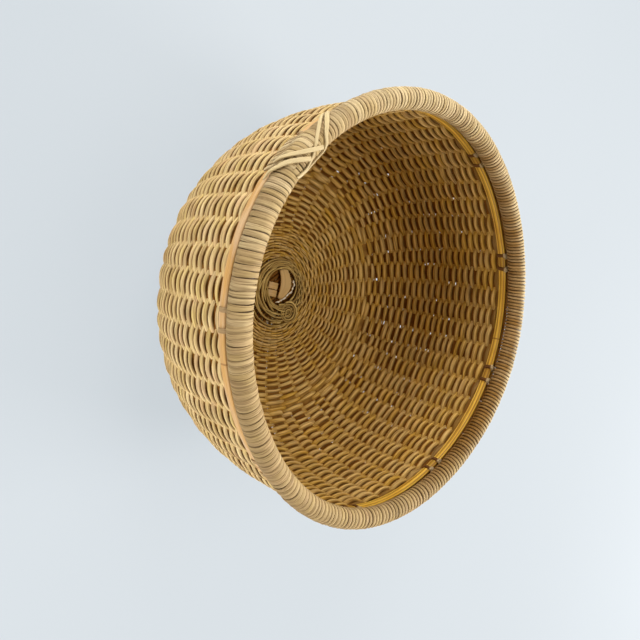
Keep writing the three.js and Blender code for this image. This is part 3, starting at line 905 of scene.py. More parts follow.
@dataclass
class Weave(Assembly):
    """Strands that pass in front of one stake and behind the next, row upon row."""

    plan: StakePlan
    row_pitch: float = 2.76 * MM
    start_pitch: float = 2.12 * MM
    pitch_climbs: tuple[float, float] = (36.0 * MM, 66.0 * MM)
    start_climb: float = -9.4 * MM
    settle_climb: float = 34.0 * MM
    top_drop: float = 11.6 * MM
    half_width: float = 2.0 * MM
    start_half_width: float = 1.3 * MM
    half_depth: float = 0.9 * MM
    squareness: float = 0.75
    neck: float = 0.84
    swing: float = 1.5 * MM
    start_swing: float = 0.4 * MM
    swing_power: float = 0.85
    calm_drop: float = 15.4 * MM
    calm_run: float = 1.5 * MM
    calm_share: float = 0.75
    base_lift: float = 1.15 * MM
    lift_from: float = 10.0 * MM
    lift_run: float = 14.0 * MM
    inside_gain: float = 0.02
    inside_round: float = 0.3
    pinhole_share: float = 0.12
    pinch: float = 0.4
    wander: float = 0.34 * MM
    swing_spread: float = 0.05
    width_spread: float = 0.13
    depth_spread: float = 0.06
    tone_spread: float = 0.22
    side: tuple[float, ...] = (0.0, 0.7, 1.0, 0.7, 0.0, -0.7, -1.0, -0.7)
    side_gain: float = 1.2
    # ridge: a painted highlight along the inside floats
    ridge: tuple[float, ...] = (0.0, 0.0, 0.1, 0.1, 0.0, 0.2, 0.4, -0.1)
    # flanks: painted shade on the strand's edges, heaviest on the edge toward the rim
    flanks: tuple[float, ...] = (1.0, 0.42, 0.0, 0.10, 0.85, 0.22, 0.0, 0.75)
    # dive and hoop_shade: painted shade where the strand dives into the wall, and painted shadow under the
    # hoops
    dive: float = 0.4
    dive_side: tuple[float, ...] = (0.5, 0.1, 0.0, 0.1, 0.5, 0.9, 1.0, 0.9)
    hoop_shade: float = 0.8
    hoop_shade_reach: float = 2.2 * MM
    steps: int = 6
    seed: ClassVar[int] = 11

    def build(self, material: bpy.types.Material) -> None:
        """Weave the base with two strands, and the wall with one long spiral cut into three pieces.

        Args:
            material: The strands' finish.
        """
        change = self.bowl.t_to_climb(self.plan.added_t)
        top = self.bowl.t_to_climb(self.bowl.t_at_drop(self.top_drop)) - self.half_width
        base = StrandMesh()
        for chase in range(2):
            start = self.start_climb + chase * self.start_pitch
            climbs = self._crossings(start, change, 2, self.plan.base_stakes)
            self._strand(base, climbs, self.plan.base_angle, 0, chase)
        settle(base.piece("weave_base", material), Slot.WEAVE_INSIDE, "inner_weave")
        climbs = self._crossings(change, top, 1, self.plan.places)
        parts = ("lower", "middle", "upper")
        cuts = np.linspace(0, len(climbs) - 1, len(parts) + 1).astype(int).tolist()
        for part, first, last in zip(parts, cuts[:-1], cuts[1:]):
            mesh = StrandMesh()
            self._strand(mesh, climbs[first : last + 1], self.plan.place_angle, first, first % 2)
            settle(mesh.piece(f"weave_wall_{part}", material), Slot.WEAVE_OUTSIDE, "outer_weave")

    def _pitch(self, climb: np.ndarray | float) -> np.ndarray:
        """Give the distance between rows, which are closer together near the base."""
        return np.interp(climb, self.pitch_climbs, (self.start_pitch, self.row_pitch))

    def _crossings(self, low: float, high: float, chases: int, count: int) -> np.ndarray:
        """Give the length up the wall at each stake that a spiral passes.

        Args:
            low: Where it starts.
            high: Where it ends.
            chases: How many strands rise together.
            count: Stakes in one round.

        Returns:
            One length for each crossing.
        """
        climbs = [low]
        while climbs[-1] < high:
            climbs.append(climbs[-1] + float(self._pitch(climbs[-1])) * chases / count)
        return np.array(climbs[:-1])

    def _strand(
        self,
        mesh: StrandMesh,
        climbs: np.ndarray,
        angle_of: Callable[[int, np.ndarray], np.ndarray],
        first: int,
        parity: int,
    ) -> None:
        """Add one strand.

        Args:
            mesh: The mesh that it goes into.
            climbs: Length up the wall at each crossing.
            angle_of: Gives a stake's direction.
            first: Number of the first stake.
            parity: 0 if the strand passes outside its first stake, 1 if inside.
        """
        total = len(climbs)
        t = self.bowl.climb_to_t(np.maximum(climbs, 0.0))
        angles = np.array([float(angle_of(first + step, t[step])) for step in range(total)])
        knots = np.arange(total)
        along = np.linspace(0, total - 1, (total - 1) * self.steps + 1)
        theta = np.interp(along, knots, angles)
        climb = np.interp(along, knots, climbs) + self.uneven(along, knots, 0.0, self.wander)
        past_calm = climb - self.bowl.t_to_climb(self.bowl.t_at_drop(self.calm_drop))
        settled = ramp(climb, 0.0, self.settle_climb)
        swing = self.start_swing + (self.swing - self.start_swing) * settled
        swing *= self.uneven(along, knots, 1.0, self.swing_spread)
        swing *= 1.0 - self.calm_share * ramp(past_calm, 0.0, self.calm_run)
        wave = np.cos(math.pi * (along + parity))
        sway = np.sign(wave) * np.abs(wave) ** self.swing_power
        inside = np.maximum(-sway, 0.0)
        lift = self.base_lift * (1.0 - ramp(climb, self.lift_from, self.lift_run))
        place = self.bowl.at_climb(climb, self.bowl.wall_middle - swing * sway + lift)
        path = polar(place[:, 0], theta, place[:, 1])
        up = polar(-place[:, 3], theta, place[:, 2])
        width = self.start_half_width + (self.half_width - self.start_half_width) * settled
        width *= self._pitch(climb) / self.row_pitch
        width *= self.uneven(along, knots, 1.0, self.width_spread)
        holes = self.random.random(total) < self.pinhole_share
        pinched = holes[np.floor(along).astype(int)] * np.sin(math.pi * along) ** 2
        width *= (self.neck + (1.0 - self.neck) * np.abs(wave)) * (1.0 - self.pinch * pinched)
        width *= 1.0 + self.inside_gain * inside * settled
        depth = self.half_depth * self.uneven(along, knots, 1.0, self.depth_spread)
        depth *= 1.0 + self.inside_round * inside
        side = np.array(self.side)
        rings = rings_along(path, up, width, depth, len(side), self.squareness)
        tone = self.uneven(along, knots, 0.5, self.tone_spread)[:, None]
        # painted highlight: the ridge values make the inside floats paler along their inward face
        tone = np.clip(tone + inside[:, None] * np.array(self.ridge), 0.0, 1.0)
        # facing: faces turned into the bowl take the inward colour, partly the grass's own and partly
        # painted warm shade
        facing = np.clip(self.side_gain * side + sway[:, None] * (1.0 - np.abs(side)), -1.0, 1.0)
        mesh.add(rings, tone=tone, facing=facing, deep=self._darkness(sway, past_calm))

    def _darkness(self, sway: np.ndarray, past_calm: np.ndarray) -> np.ndarray:
        """Paint shade on the edges of a strand, where it dives into the wall and where the hoops cover it.

        Args:
            sway: 1 where the strand lies outside a stake, -1 where it lies inside.
            past_calm: Length up the wall, from the first of the calm rows.

        Returns:
            The painted shade, by point of the strand and side of its section.
        """
        flank = 0.25 + 0.75 * np.maximum(sway, -0.9 * sway)
        dive = self.dive * (1.0 - np.abs(sway)) ** 2
        covered = self.hoop_shade * ramp(past_calm, -self.hoop_shade_reach, self.calm_run)
        hidden = np.maximum(dive, covered)[:, None] * np.array(self.dive_side)
        return np.maximum(flank[:, None] * np.array(self.flanks), hidden)


@dataclass
class Stakes(Assembly):
    """Rods that cross under the base and rise as stakes, and the stakes let in between them."""

    plan: StakePlan
    rods_per_layer: int = 9
    half_width: float = 1.3 * MM
    half_depth: float = 0.55 * MM
    squareness: float = 0.6
    cover: float = 0.985
    open_cover: float = 0.86
    opening_run: float = 0.12
    closed_t: float = 0.12
    closing_run: float = 0.05
    inset: float = 2.55 * MM
    rod_pitch: float = 3.2 * MM
    layer_lift: float = 1.4 * MM
    held_radius: float = 21.87 * MM
    crossing_stops: tuple[float, ...] = (1.0, 0.5, 0.0, -0.5, -1.0)
    stake_top_drop: float = 6.9 * MM
    width_spread: float = 0.03
    shown_reach: float = 2.4 * MM
    # painted shade on the stakes, lifted where they show
    darkness: float = 0.6
    shown_gain: float = 0.45
    steps: int = 26
    sides: int = 8
    seed: ClassVar[int] = 23

    def build(self, material: bpy.types.Material) -> None:
        """Make every rod and every added stake.

        Args:
            material: The stakes' finish.
        """
        for rod in range(2 * self.rods_per_layer):
            run = self._rod(*divmod(rod, self.rods_per_layer))
            self._piece(f"rod_{rod + 1:02d}", f"base_rod_{rod + 1:02d}", run, material)
        places = [place for place, (_, share) in enumerate(self.plan.neighbours()) if share > 0.0]
        for number, place in enumerate(places, 1):
            self._piece(f"stake_{number:02d}", f"added_stake_{number:02d}", self._side(place), material)

    def _side(self, place: int) -> Run:
        """Give the path of a stake up the side.

        Args:
            place: Its place at the rim.

        Returns:
            Points from low to high, and the direction and half of its width at each.
        """
        stake, share = self.plan.neighbours()[place]
        low = math.pi / 2 if share == 0.0 else self.plan.added_t
        t = np.linspace(low, self.bowl.t_at_drop(self.stake_top_drop), self.steps)
        spans = np.array([self._span(place, stake, value) for value in t])
        angle = spans.mean(axis=1)
        points = self.bowl.wall(t, self.inset)
        half = 0.5 * (spans[:, 1] - spans[:, 0]) * points[:, 0]
        return polar(points[:, 0], angle, points[:, 1]), outward(angle + math.pi / 2), half

    def _span(self, place: int, stake: int, t: float) -> tuple[float, float]:
        """Give the directions of a stake's two edges.

        Args:
            place: Its place at the rim.
            stake: The base stake at or before it.
            t: Where on the side's curve.

        Returns:
            The two edges, which keep a little off the neighbours.
        """
        below = t > self.plan.added_t
        angle_of, number = (self.plan.base_angle, stake) if below else (self.plan.place_angle, place)
        before, here, after = (float(angle_of(number + step, t)) for step in (-1, 0, 1))
        opened = float(ramp(self.plan.added_t - t, 0.0, self.opening_run))
        opened *= float(ramp(t, self.closed_t, self.closing_run))
        half = 0.5 * (self.cover + (self.open_cover - self.cover) * opened)
        return here - half * (here - before), here + half * (after - here)

    def _rod(self, layer: int, rod: int) -> Run:
        """Give the path of a rod down one side, across the base and up the other.

        Args:
            layer: 0 for the lower layer of the crossing, 1 for the upper.
            rod: Its number in the layer.

        Returns:
            Points, and the direction and half of the rod's width at each.
        """
        first = layer * self.rods_per_layer
        middle = (self.rods_per_layer - 1) / 2
        near, near_across, near_half = self._side(self.plan.rim_place(first + rod))
        opposite = first + 3 * self.rods_per_layer - 1 - rod
        far, far_across, far_half = self._side(self.plan.rim_place(opposite))
        axis = np.array((first + middle) / self.plan.base_stakes * TURN)
        offset = (rod - middle) * self.rod_pitch
        reach = math.sqrt(self.held_radius**2 - offset**2)
        sideways = outward(axis + math.pi / 2)
        flat = reach * np.array(self.crossing_stops)[:, None] * outward(axis) + offset * sideways
        flat[:, 2] = self.inset + layer * self.layer_lift
        path = np.concatenate([near[::-1], flat, far])
        across = np.concatenate([near_across[::-1], np.tile(sideways, (len(flat), 1)), -far_across])
        half = np.concatenate([near_half[::-1], np.full(len(flat), self.half_width), far_half])
        return path, across, half

    def _piece(self, name: str, node: str, run: Run, material: bpy.types.Material) -> None:
        """Make one rod or stake, with painted shade that is lighter, and a paler tone, where the first of
        the added stakes show.

        Args:
            name: The piece's name.
            node: The CAD node that it stands for.
            run: Its centre line, and the direction and half of its width there.
            material: Its finish.
        """
        path, across, half = run
        width = half * self.random.normal(1.0, self.width_spread, len(path))
        rings = rings_along(path, across, width, self.half_depth, self.sides, self.squareness)
        change = self.bowl.wall(np.array([self.plan.added_t]), 0.0)[0, 1]
        # painted shade: deep darkens the whole stake, less where the first added stakes show, which also
        # take a paler tone
        shown = np.exp(-(((path[:, 2] - change) / self.shown_reach) ** 2))
        tone = np.maximum(0.5 * self.random.random(), shown)
        mesh = StrandMesh()
        mesh.add(rings, tone=tone, facing=0.0, deep=self.darkness - self.shown_gain * shown)
        settle(mesh.piece(name, material), Slot.STAKE, node)


@dataclass
class Rim(Assembly):
    """A round bundle wound all the way with a narrow strand, flatter and tighter on one side."""

    tube_radius: float = 6.5 * MM
    core_radius: float = 5.3 * MM
    core_ripple: float = 0.03
    core_rods: int = 8
    core_steps: int = 180
    core_sides: int = 16
    # painted shade over the whole bundle, which shows only in the gaps between turns
    core_darkness: float = 0.3
    turns: int = 285
    crowding: float = 0.18
    crowded_at: float = math.radians(135.0)
    strips: int = 5
    steps: int = 18
    sides: int = 8
    knot_step: float = 0.25
    half_depth: float = 0.78 * MM
    flat_depth: float = 0.48 * MM
    cover: float = 0.88
    flat_cover: float = 1.03
    flat_spread: float = 0.4
    wander: float = 0.12 * MM
    width_spread: float = 0.07
    lift_spread: float = 0.09 * MM
    tone_spread: float = 0.24
    slack_share: float = 0.2
    slack: float = 0.12
    slant: float = -0.07
    slant_swing: float = 0.13
    flat_angle: float = math.radians(-84.0)
    flat_from: float = 0.1
    flat_run: float = 0.6
    flat_tone: float = 0.3
    # painted light: how much paler the rim's lit outer faces are made
    painted_light_gain: float = 0.55
    far_painted_shade: float = 0.65
    # painted shade in the creases between turns and on the flat side's outer faces
    edge_darkness: float = 0.95
    edge_power: float = 5.0
    flat_darkness: float = 0.34
    seed: ClassVar[int] = 37

    def point(self, along: np.ndarray, round_tube: np.ndarray, radius: np.ndarray | float) -> np.ndarray:
        """Give points by direction round the basket, angle about the tube and distance from its middle."""
        reach = self.bowl.rim_radius + radius * np.cos(round_tube)
        return polar(reach, along, self.bowl.rim_height + radius * np.sin(round_tube))

    def build(self, wrap: bpy.types.Material, core: bpy.types.Material) -> None:
        """Make the core and the wrapping.

        Args:
            wrap: Finish of the wrapping.
            core: Finish of the bundle inside it.
        """
        self._core(core)
        for strip in range(self.strips):
            self._winding(strip, wrap)

    def _core(self, material: bpy.types.Material) -> None:
        """Make the bundle inside the wrapping.

        Args:
            material: Its finish.
        """
        along = np.linspace(0.0, TURN, self.core_steps, endpoint=False)[:, None]
        angle = np.arange(self.core_sides) / self.core_sides * TURN
        ripple = self.core_radius * (1.0 + self.core_ripple * np.cos(self.core_rods * angle))
        spread = np.broadcast_arrays(along, angle, ripple)
        mesh = StrandMesh()
        mesh.add(self.point(*spread)[:, ::-1], closed=True, deep=self.core_darkness)
        settle(mesh.piece("rim_bundle", material), Slot.RIM_CORE, "rim_core")

    def _winding(self, strip: int, material: bpy.types.Material) -> None:
        """Wind one strip along its share of the core.

        Args:
            strip: Its number, from 0.
            material: Its finish.
        """
        count = self.turns // self.strips
        turn = np.linspace(0, count, count * self.steps + 1)
        knots = np.arange(0, count + self.knot_step, self.knot_step)
        tube = turn * TURN - math.pi / 2
        out = np.cos(tube)
        along, pitch = self._advance(strip * count + turn)
        side = np.cos(along - self.flat_angle)
        flat = ramp(side, self.flat_from, self.flat_run)
        shift = self.uneven(turn, knots, 0.0, self.wander)
        shift -= (self.slant - self.slant_swing * side) * self.tube_radius * out
        along = along + shift / self.bowl.rim_radius
        spread = self.uneven(turn, knots, 1.0, self.width_spread)
        loose = self.slack * (self.random.random(count + 1) < self.slack_share)
        spread -= loose[np.floor(turn).astype(int)] * (np.cos(along + math.pi / 2) > 0.2)
        spread = 1.0 + (spread - 1.0) * (1.0 + self.flat_spread * flat)
        lift = self.uneven(turn, knots, 0.0, self.lift_spread)
        depth = self.half_depth + (self.flat_depth - self.half_depth) * flat
        cover = self.cover + (self.flat_cover - self.cover) * flat
        width = 0.5 * pitch * (self.bowl.rim_radius + self.tube_radius * out) * cover * spread
        path = self.point(along, tube, self.tube_radius - depth + lift)
        across = outward(along + math.pi / 2)
        rings = rings_along(path, across, width, depth, self.sides, 0.9 - 0.4 * flat)
        # painted light: the outer faces on the -x side and on the side away from the flat are made paler
        painted_light_share = np.clip(np.maximum(-side, -np.cos(along)), 0.0, 1.0) * np.clip(out + 0.4, 0.0, 1.0)
        tone = self.uneven(turn, np.arange(count + 1), 0.5, self.tone_spread)
        tone += self.painted_light_gain * painted_light_share - self.flat_tone * flat
        # painted shade: the +x side of the rim is made darker
        tone -= self.far_painted_shade * np.clip(np.cos(along), 0.0, 1.0)
        # painted shade: deep darkens each turn's edges, the creases between turns, lighter and varying
        # turn to turn on the flat side, and the flat side's outer faces
        tight = np.interp(turn, knots, self.random.random(len(knots)) ** 2)
        edge = self.edge_darkness - (0.8 - 0.6 * tight) * flat
        deep = edge[:, None] * edges(self.sides, self.edge_power)
        deep = np.maximum(deep, (self.flat_darkness * flat * np.clip(out + 0.1, 0.0, 1.0))[:, None])
        # painted shade: away from the flat side, the rim's inner face takes the dark inward colour
        facing = 0.6 + 1.5 * (out - 0.1) * np.clip(-side, 0.0, 1.0)
        mesh = StrandMesh()
        mesh.add(rings, tone=np.clip(tone, 0.0, 1.0), facing=facing, deep=deep)
        settle(mesh.piece(f"rim_winding_{strip + 1}", material), Slot.RIM_WRAP, f"rim_wrap_{strip + 1}")

    def _advance(self, turn: np.ndarray) -> tuple[np.ndarray, np.ndarray]:
        """Crowd the turns on one side of the rim.

        Args:
            turn: Turns counted from the start.

        Returns:
            Each one's direction round the basket, and the pitch there as an angle.
        """
        angle = np.linspace(-0.2, TURN + 0.2, 4001)
        swing = self.crowding * (np.sin(angle - self.crowded_at) + math.sin(self.crowded_at))
        along = np.interp(turn, (angle + swing) / TURN * self.turns, angle)
        return along, TURN / self.turns / (1.0 + self.crowding * np.cos(along - self.crowded_at))


@dataclass
class Hoop:
    """A flat cane band that lies on the stakes just under the rim."""

    bowl: Bowl
    face: Face
    name: str
    node: str
    slot: Slot
    top_drop: float
    height: float
    outer_inset: float
    tied_at: Sequence[float] = ()
    tied_half: float = 4.4 * MM
    # painted shade: on the face where a lashing ties the hoop, and on its back
    tied_darkness: float = 0.55
    back_darkness: float = 0.9
    thickness: float = 2.3 * MM
    rounding: float = 0.9 * MM
    weld: float = 0.02 * MM
    smooth_angle: float = math.radians(40.0)
    spin_steps: int = 360

    def build(self, material: bpy.types.Material) -> None:
        """Spin a rounded section about the basket's axis.

        Args:
            material: Its finish.
        """
        bpy.ops.object.select_all(action="DESELECT")
        radius, height, out, up = self._middle()
        bpy.ops.mesh.primitive_plane_add(size=1.0)
        piece = bpy.context.object
        piece.name = self.name
        bpy.ops.transform.resize(value=(self.thickness, self.height, 1.0))
        piece.rotation_euler = (math.pi / 2, math.atan2(-up, out), 0.0)
        piece.location = (radius, 0.0, height)
        bpy.ops.object.transform_apply(location=True, rotation=True, scale=True)
        bpy.ops.object.mode_set(mode="EDIT")
        bpy.ops.mesh.select_all(action="SELECT")
        bpy.ops.mesh.bevel(offset=self.rounding, segments=3, affect="VERTICES")
        bpy.ops.mesh.delete(type="ONLY_FACE")
        bpy.ops.mesh.select_all(action="SELECT")
        bpy.ops.mesh.spin(steps=self.spin_steps, angle=TURN, center=(0.0, 0.0, 0.0), axis=(0.0, 0.0, 1.0))
        bpy.ops.mesh.select_all(action="SELECT")
        bpy.ops.mesh.remove_doubles(threshold=self.weld)
        bpy.ops.mesh.normals_make_consistent(inside=False)
        bpy.ops.object.mode_set(mode="OBJECT")
        bpy.ops.object.shade_smooth_by_angle(angle=self.smooth_angle)
        self._map(piece.data)
        self._shade(piece.data)
        points = np.empty(3 * len(piece.data.vertices))
        piece.data.vertices.foreach_get("co", points)
        piece.data.vertices.foreach_set("co", OUT_OF_ROUND.bend(points.reshape(-1, 3)).reshape(-1))
        piece.data.materials.append(material)
        settle(piece, self.slot, self.node)

    def _middle(self) -> list[float]:
        """Give the section's radius and height, and the outward normal's two parts."""
        t = self.bowl.t_at_drop(self.top_drop + self.height / 2)
        return self.bowl.wall(np.array(t), self.outer_inset + self.thickness / 2).tolist()

    def _map(self, mesh: bpy.types.Mesh) -> None:
        """Lay the grain along the hoop.

        Args:
            mesh: The hoop's mesh.
        """
        layer = mesh.uv_layers.get(STRAND_UV) or mesh.uv_layers.new(name=STRAND_UV)
        low = self.bowl.rim_height - self.top_drop - self.height
        for polygon in mesh.polygons:
            corners = [mesh.vertices[index].co for index in polygon.vertices]
            turns = [math.atan2(corner.y, corner.x) for corner in corners]
            wraps = max(turns) - min(turns) > math.pi
            for loop, corner, turn in zip(polygon.loop_indices, corners, turns):
                if wraps and turn < 0:
                    turn += TURN
                across = (corner.z - low) / self.height
                layer.data[loop].uv = (turn * self.bowl.rim_radius / UV_LENGTH, across)
        for other in [one.name for one in mesh.uv_layers if one.name != STRAND_UV]:
            mesh.uv_layers.remove(mesh.uv_layers[other])

    def _shade(self, mesh: bpy.types.Mesh) -> None:
        """Paint shade on the hoop's back, and on its face where a lashing ties it.

        Args:
            mesh: The hoop's mesh.
        """
        deep = mesh.attributes.new("deep", "FLOAT", "POINT")
        middle = self._middle()[0]
        reach = self.tied_half / self.bowl.rim_radius
        for vertex in mesh.vertices:
            turn = math.atan2(vertex.co.y, vertex.co.x)
            tied = any(abs((turn - spot + math.pi) % TURN - math.pi) < reach for spot in self.tied_at)
            behind = math.hypot(vertex.co.x, vertex.co.y) - middle
            hidden = behind < 0.0 if self.face is Face.OUTSIDE else behind > 0.0
            front = self.tied_darkness if tied else 0.0
            deep.data[vertex.index].value = self.back_darkness if hidden else front


@dataclass
class Lashings(Assembly):
    """Brown strands that tie the two hoops through the wall, one turn on each side of a stake."""

    plan: StakePlan
    count: int = 9
    start: float = math.radians(75.0)
    straddle: float = 5.0 * MM
    half_width: float = 1.35 * MM
    half_depth: float = 0.5 * MM
    squareness: float = 0.85
    inner_inset: float = 6.1 * MM
    outer_inset: float = -1.05 * MM
    top_drop: float = 7.0 * MM
    inner_rise: float = 0.4 * MM
    outer_dip: float = 0.8 * MM
    inner_bottom: float = 14.5 * MM
    outer_bottom: float = 14.4 * MM
    stray: float = 0.45 * MM
    knot_reach: float = 1.6 * MM
    knot_run: float = 1.0 * MM
    knot_gain: float = 0.5
    darkness: float = 0.1
    sides: int = 8
    seed: ClassVar[int] = 41

    def angles(self) -> list[float]:
        """List the stakes that the lashings straddle.

        Returns:
            The direction of each one.
        """
        step = TURN / self.plan.places
        wanted = [self.start + turn / self.count * TURN for turn in range(self.count)]
        return [(round(angle / step - 0.5) + 0.5) * step for angle in wanted]

    def build(self, material: bpy.types.Material) -> None:
        """Make each lashing, a turn round both hoops on each side of its stake.

        Args:
            material: Their finish.
        """
        for number, angle in enumerate(self.angles(), 1):
            mesh = StrandMesh()
            for side in (-self.straddle, self.straddle):
                self._turn(mesh, angle, side)
            settle(mesh.piece(f"lashing_{number}", material), Slot.LASHING, f"hoop_lashing_{number}")

    def _turn(self, mesh: StrandMesh, angle: float, side: float) -> None:
        """Add one turn round both hoops.

        Args:
            mesh: The mesh that it goes into.
            angle: Direction of the stake.
            side: How far the turn stands to one side of it.
        """
        stops = [
            (side, self.inner_inset, self.top_drop - self.inner_rise),
            (side, self.inner_inset, self.inner_bottom),
            (side, self.outer_inset, self.outer_bottom),
            (side, self.outer_inset, self.top_drop + self.outer_dip),
            (side, self.inner_inset - self.inner_rise, self.top_drop - self.inner_rise),
        ]
        run = np.array(stops)
        run[:, 0] += self.random.normal(0.0, self.stray, len(run))
        sideways, inset, drop = cut_corners(run, 3).T
        place = self.bowl.wall(np.array([self.bowl.t_at_drop(one) for one in drop]), inset)
        theta = angle + sideways / self.bowl.rim_radius
        path = polar(place[:, 0], theta, place[:, 1])
        inside = (inset - self.outer_inset) / (self.inner_inset - self.outer_inset)
        knotted = ramp(self.top_drop + self.knot_reach - drop, 0.0, self.knot_run) * (inside > 0.5)
        width = self.half_width * (1.0 + self.knot_gain * knotted)
        across = outward(theta + math.pi / 2)
        rings = rings_along(path, across, width, self.half_depth, self.sides, self.squareness)
        mesh.add(rings, tone=knotted, facing=1.0 - 2.0 * inside, deep=self.darkness)


@dataclass(frozen=True)
class KnotStrand:
    """A strand of the crossed binding: its places are degrees round the basket and round the tube."""

    half_width: float
    lift: float
    places: tuple[tuple[float, float], ...]
    tail: float = 1.0


@dataclass(frozen=True)
class Apron:
    """Turns that reach from the rim down over the outer hoop, in degrees round the basket and the tube."""

    span: tuple[float, float] = (-127.5, -117.0)
    step: float = 1.35
    stray: float = 0.12
    tube: tuple[float, ...] = (75.0, 40.0, 5.0, -28.0)
    lift: float = 0.15 * MM
    drops: tuple[float, ...] = (9.5 * MM, 12.0 * MM, 14.6 * MM)
    insets: tuple[float, ...] = (-1.3 * MM, -1.3 * MM, -0.6 * MM)
    drift: tuple[float, ...] = (0.004, 0.008, 0.012)
    half_width: float = 1.4 * MM
    half_depth: float = 0.6 * MM
    squareness: float = 0.85
    width_spread: float = 0.06
    darkness: float = 0.6
    edge_power: float = 6.0
    sides: int = 8


@dataclass
class Knot(Assembly):
    """The crossed binding on the rim, and the turns beside it that reach down over the outer hoop."""

    rim: Rim
    half_depth: float = 0.62 * MM
    squareness: float = 0.75
    tone: float = 0.75
    darkness: float = 0.45
    edge_power: float = 8.0
    sides: int = 10
    upright: tuple[KnotStrand, ...] = (
        KnotStrand(
            1.1 * MM,
            0.55 * MM,
            (
                (-134.5, -17), (-131.2, 21), (-129.2, 43), (-127.2, 61), (-125.7, 80),
                (-124.5, 92), (-122.5, 114), (-120, 128), (-116.7, 111),
            ),
            0.6,
        ),
        KnotStrand(
            1.4 * MM,
            0.6 * MM,
            (
                (-135, 2), (-132.2, 43), (-130.5, 65), (-129.2, 87), (-128.5, 116),
                (-127.2, 151), (-124.8, 150), (-121, 142), (-117.3, 116),
            ),
            0.45,
        ),
    )
    level: tuple[KnotStrand, ...] = (
        KnotStrand(
            1.2 * MM,
            1.5 * MM,
            ((-117.6, -27), (-118.3, 0), (-119.9, 38), (-122.8, 71), (-126.8, 106)),
        ),
        KnotStrand(
            1.25 * MM,
            1.35 * MM,
            ((-113, -31), (-114.5, -27), (-115.5, 8), (-117.8, 38), (-119.8, 68), (-122.2, 99)),
        ),
    )
    apron: Apron = Apron()
    seed: ClassVar[int] = 53

    def build(self, binding: bpy.types.Material, wrap: bpy.types.Material) -> None:
        """Make the strands.

        Args:
            binding: Finish of the crossed strands.
            wrap: Finish of the turns beside them.
        """
        for name, node, strands in (
            ("binding_upright", "rim_cross_1", self.upright),
            ("binding_level", "rim_cross_2", self.level),
        ):
            mesh = StrandMesh()
            for strand in strands:
                self._strand(mesh, strand)
            settle(mesh.piece(name, binding), Slot.RIM_BINDING, node)
        self._apron(wrap)

    def _strand(self, mesh: StrandMesh, strand: KnotStrand) -> None:
        """Add one strand of the crossing.

        Args:
            mesh: The mesh that it goes into.
            strand: Its width and places.
        """
        along, tube = cut_corners(np.radians(np.array(strand.places, dtype=float)), 3).T
        path = self.rim.point(along, tube, self.rim.tube_radius + strand.lift)
        outwards = path - self.rim.point(along, tube, 0.0)
        across = np.cross(outwards, np.gradient(path, axis=0))
        width = strand.half_width * np.linspace(1.0, strand.tail, len(path))
        rings = rings_along(path, across, width, self.half_depth, self.sides, self.squareness)
        # painted shade along the strand's two edges
        deep = self.darkness * edges(self.sides, self.edge_power)[None, :]
        mesh.add(rings, tone=self.tone, facing=np.cos(tube), deep=deep)

    def _apron(self, material: bpy.types.Material) -> None:
        """Add the turns between the arms of the crossing that run down over the outer hoop.

        Args:
            material: Their finish.
        """
        apron = self.apron
        tube = np.radians(apron.tube)
        t = np.array([self.bowl.t_at_drop(drop) for drop in apron.drops])
        wall = self.bowl.wall(t, np.array(apron.insets))
        mesh = StrandMesh()
        for degrees in np.arange(*apron.span, apron.step):
            along = np.array(math.radians(degrees + self.random.normal(0.0, apron.stray)))
            upper = self.rim.point(np.full(len(tube), along), tube, self.rim.tube_radius + apron.lift)
            lower = polar(wall[:, 0], along + np.array(apron.drift), wall[:, 1])
            path = cut_corners(np.concatenate([upper, lower]), 2)
            width = apron.half_width * self.random.normal(1.0, apron.width_spread)
            across = outward(along + math.pi / 2)
            rings = rings_along(path, across, width, apron.half_depth, apron.sides, apron.squareness)
            # painted shade along the strand's two edges
            deep = apron.darkness * edges(apron.sides, apron.edge_power)[None, :]
            mesh.add(rings, tone=self.random.random(), facing=1.0, deep=deep)
        settle(mesh.piece("binding_apron", material), Slot.RIM_WRAP)


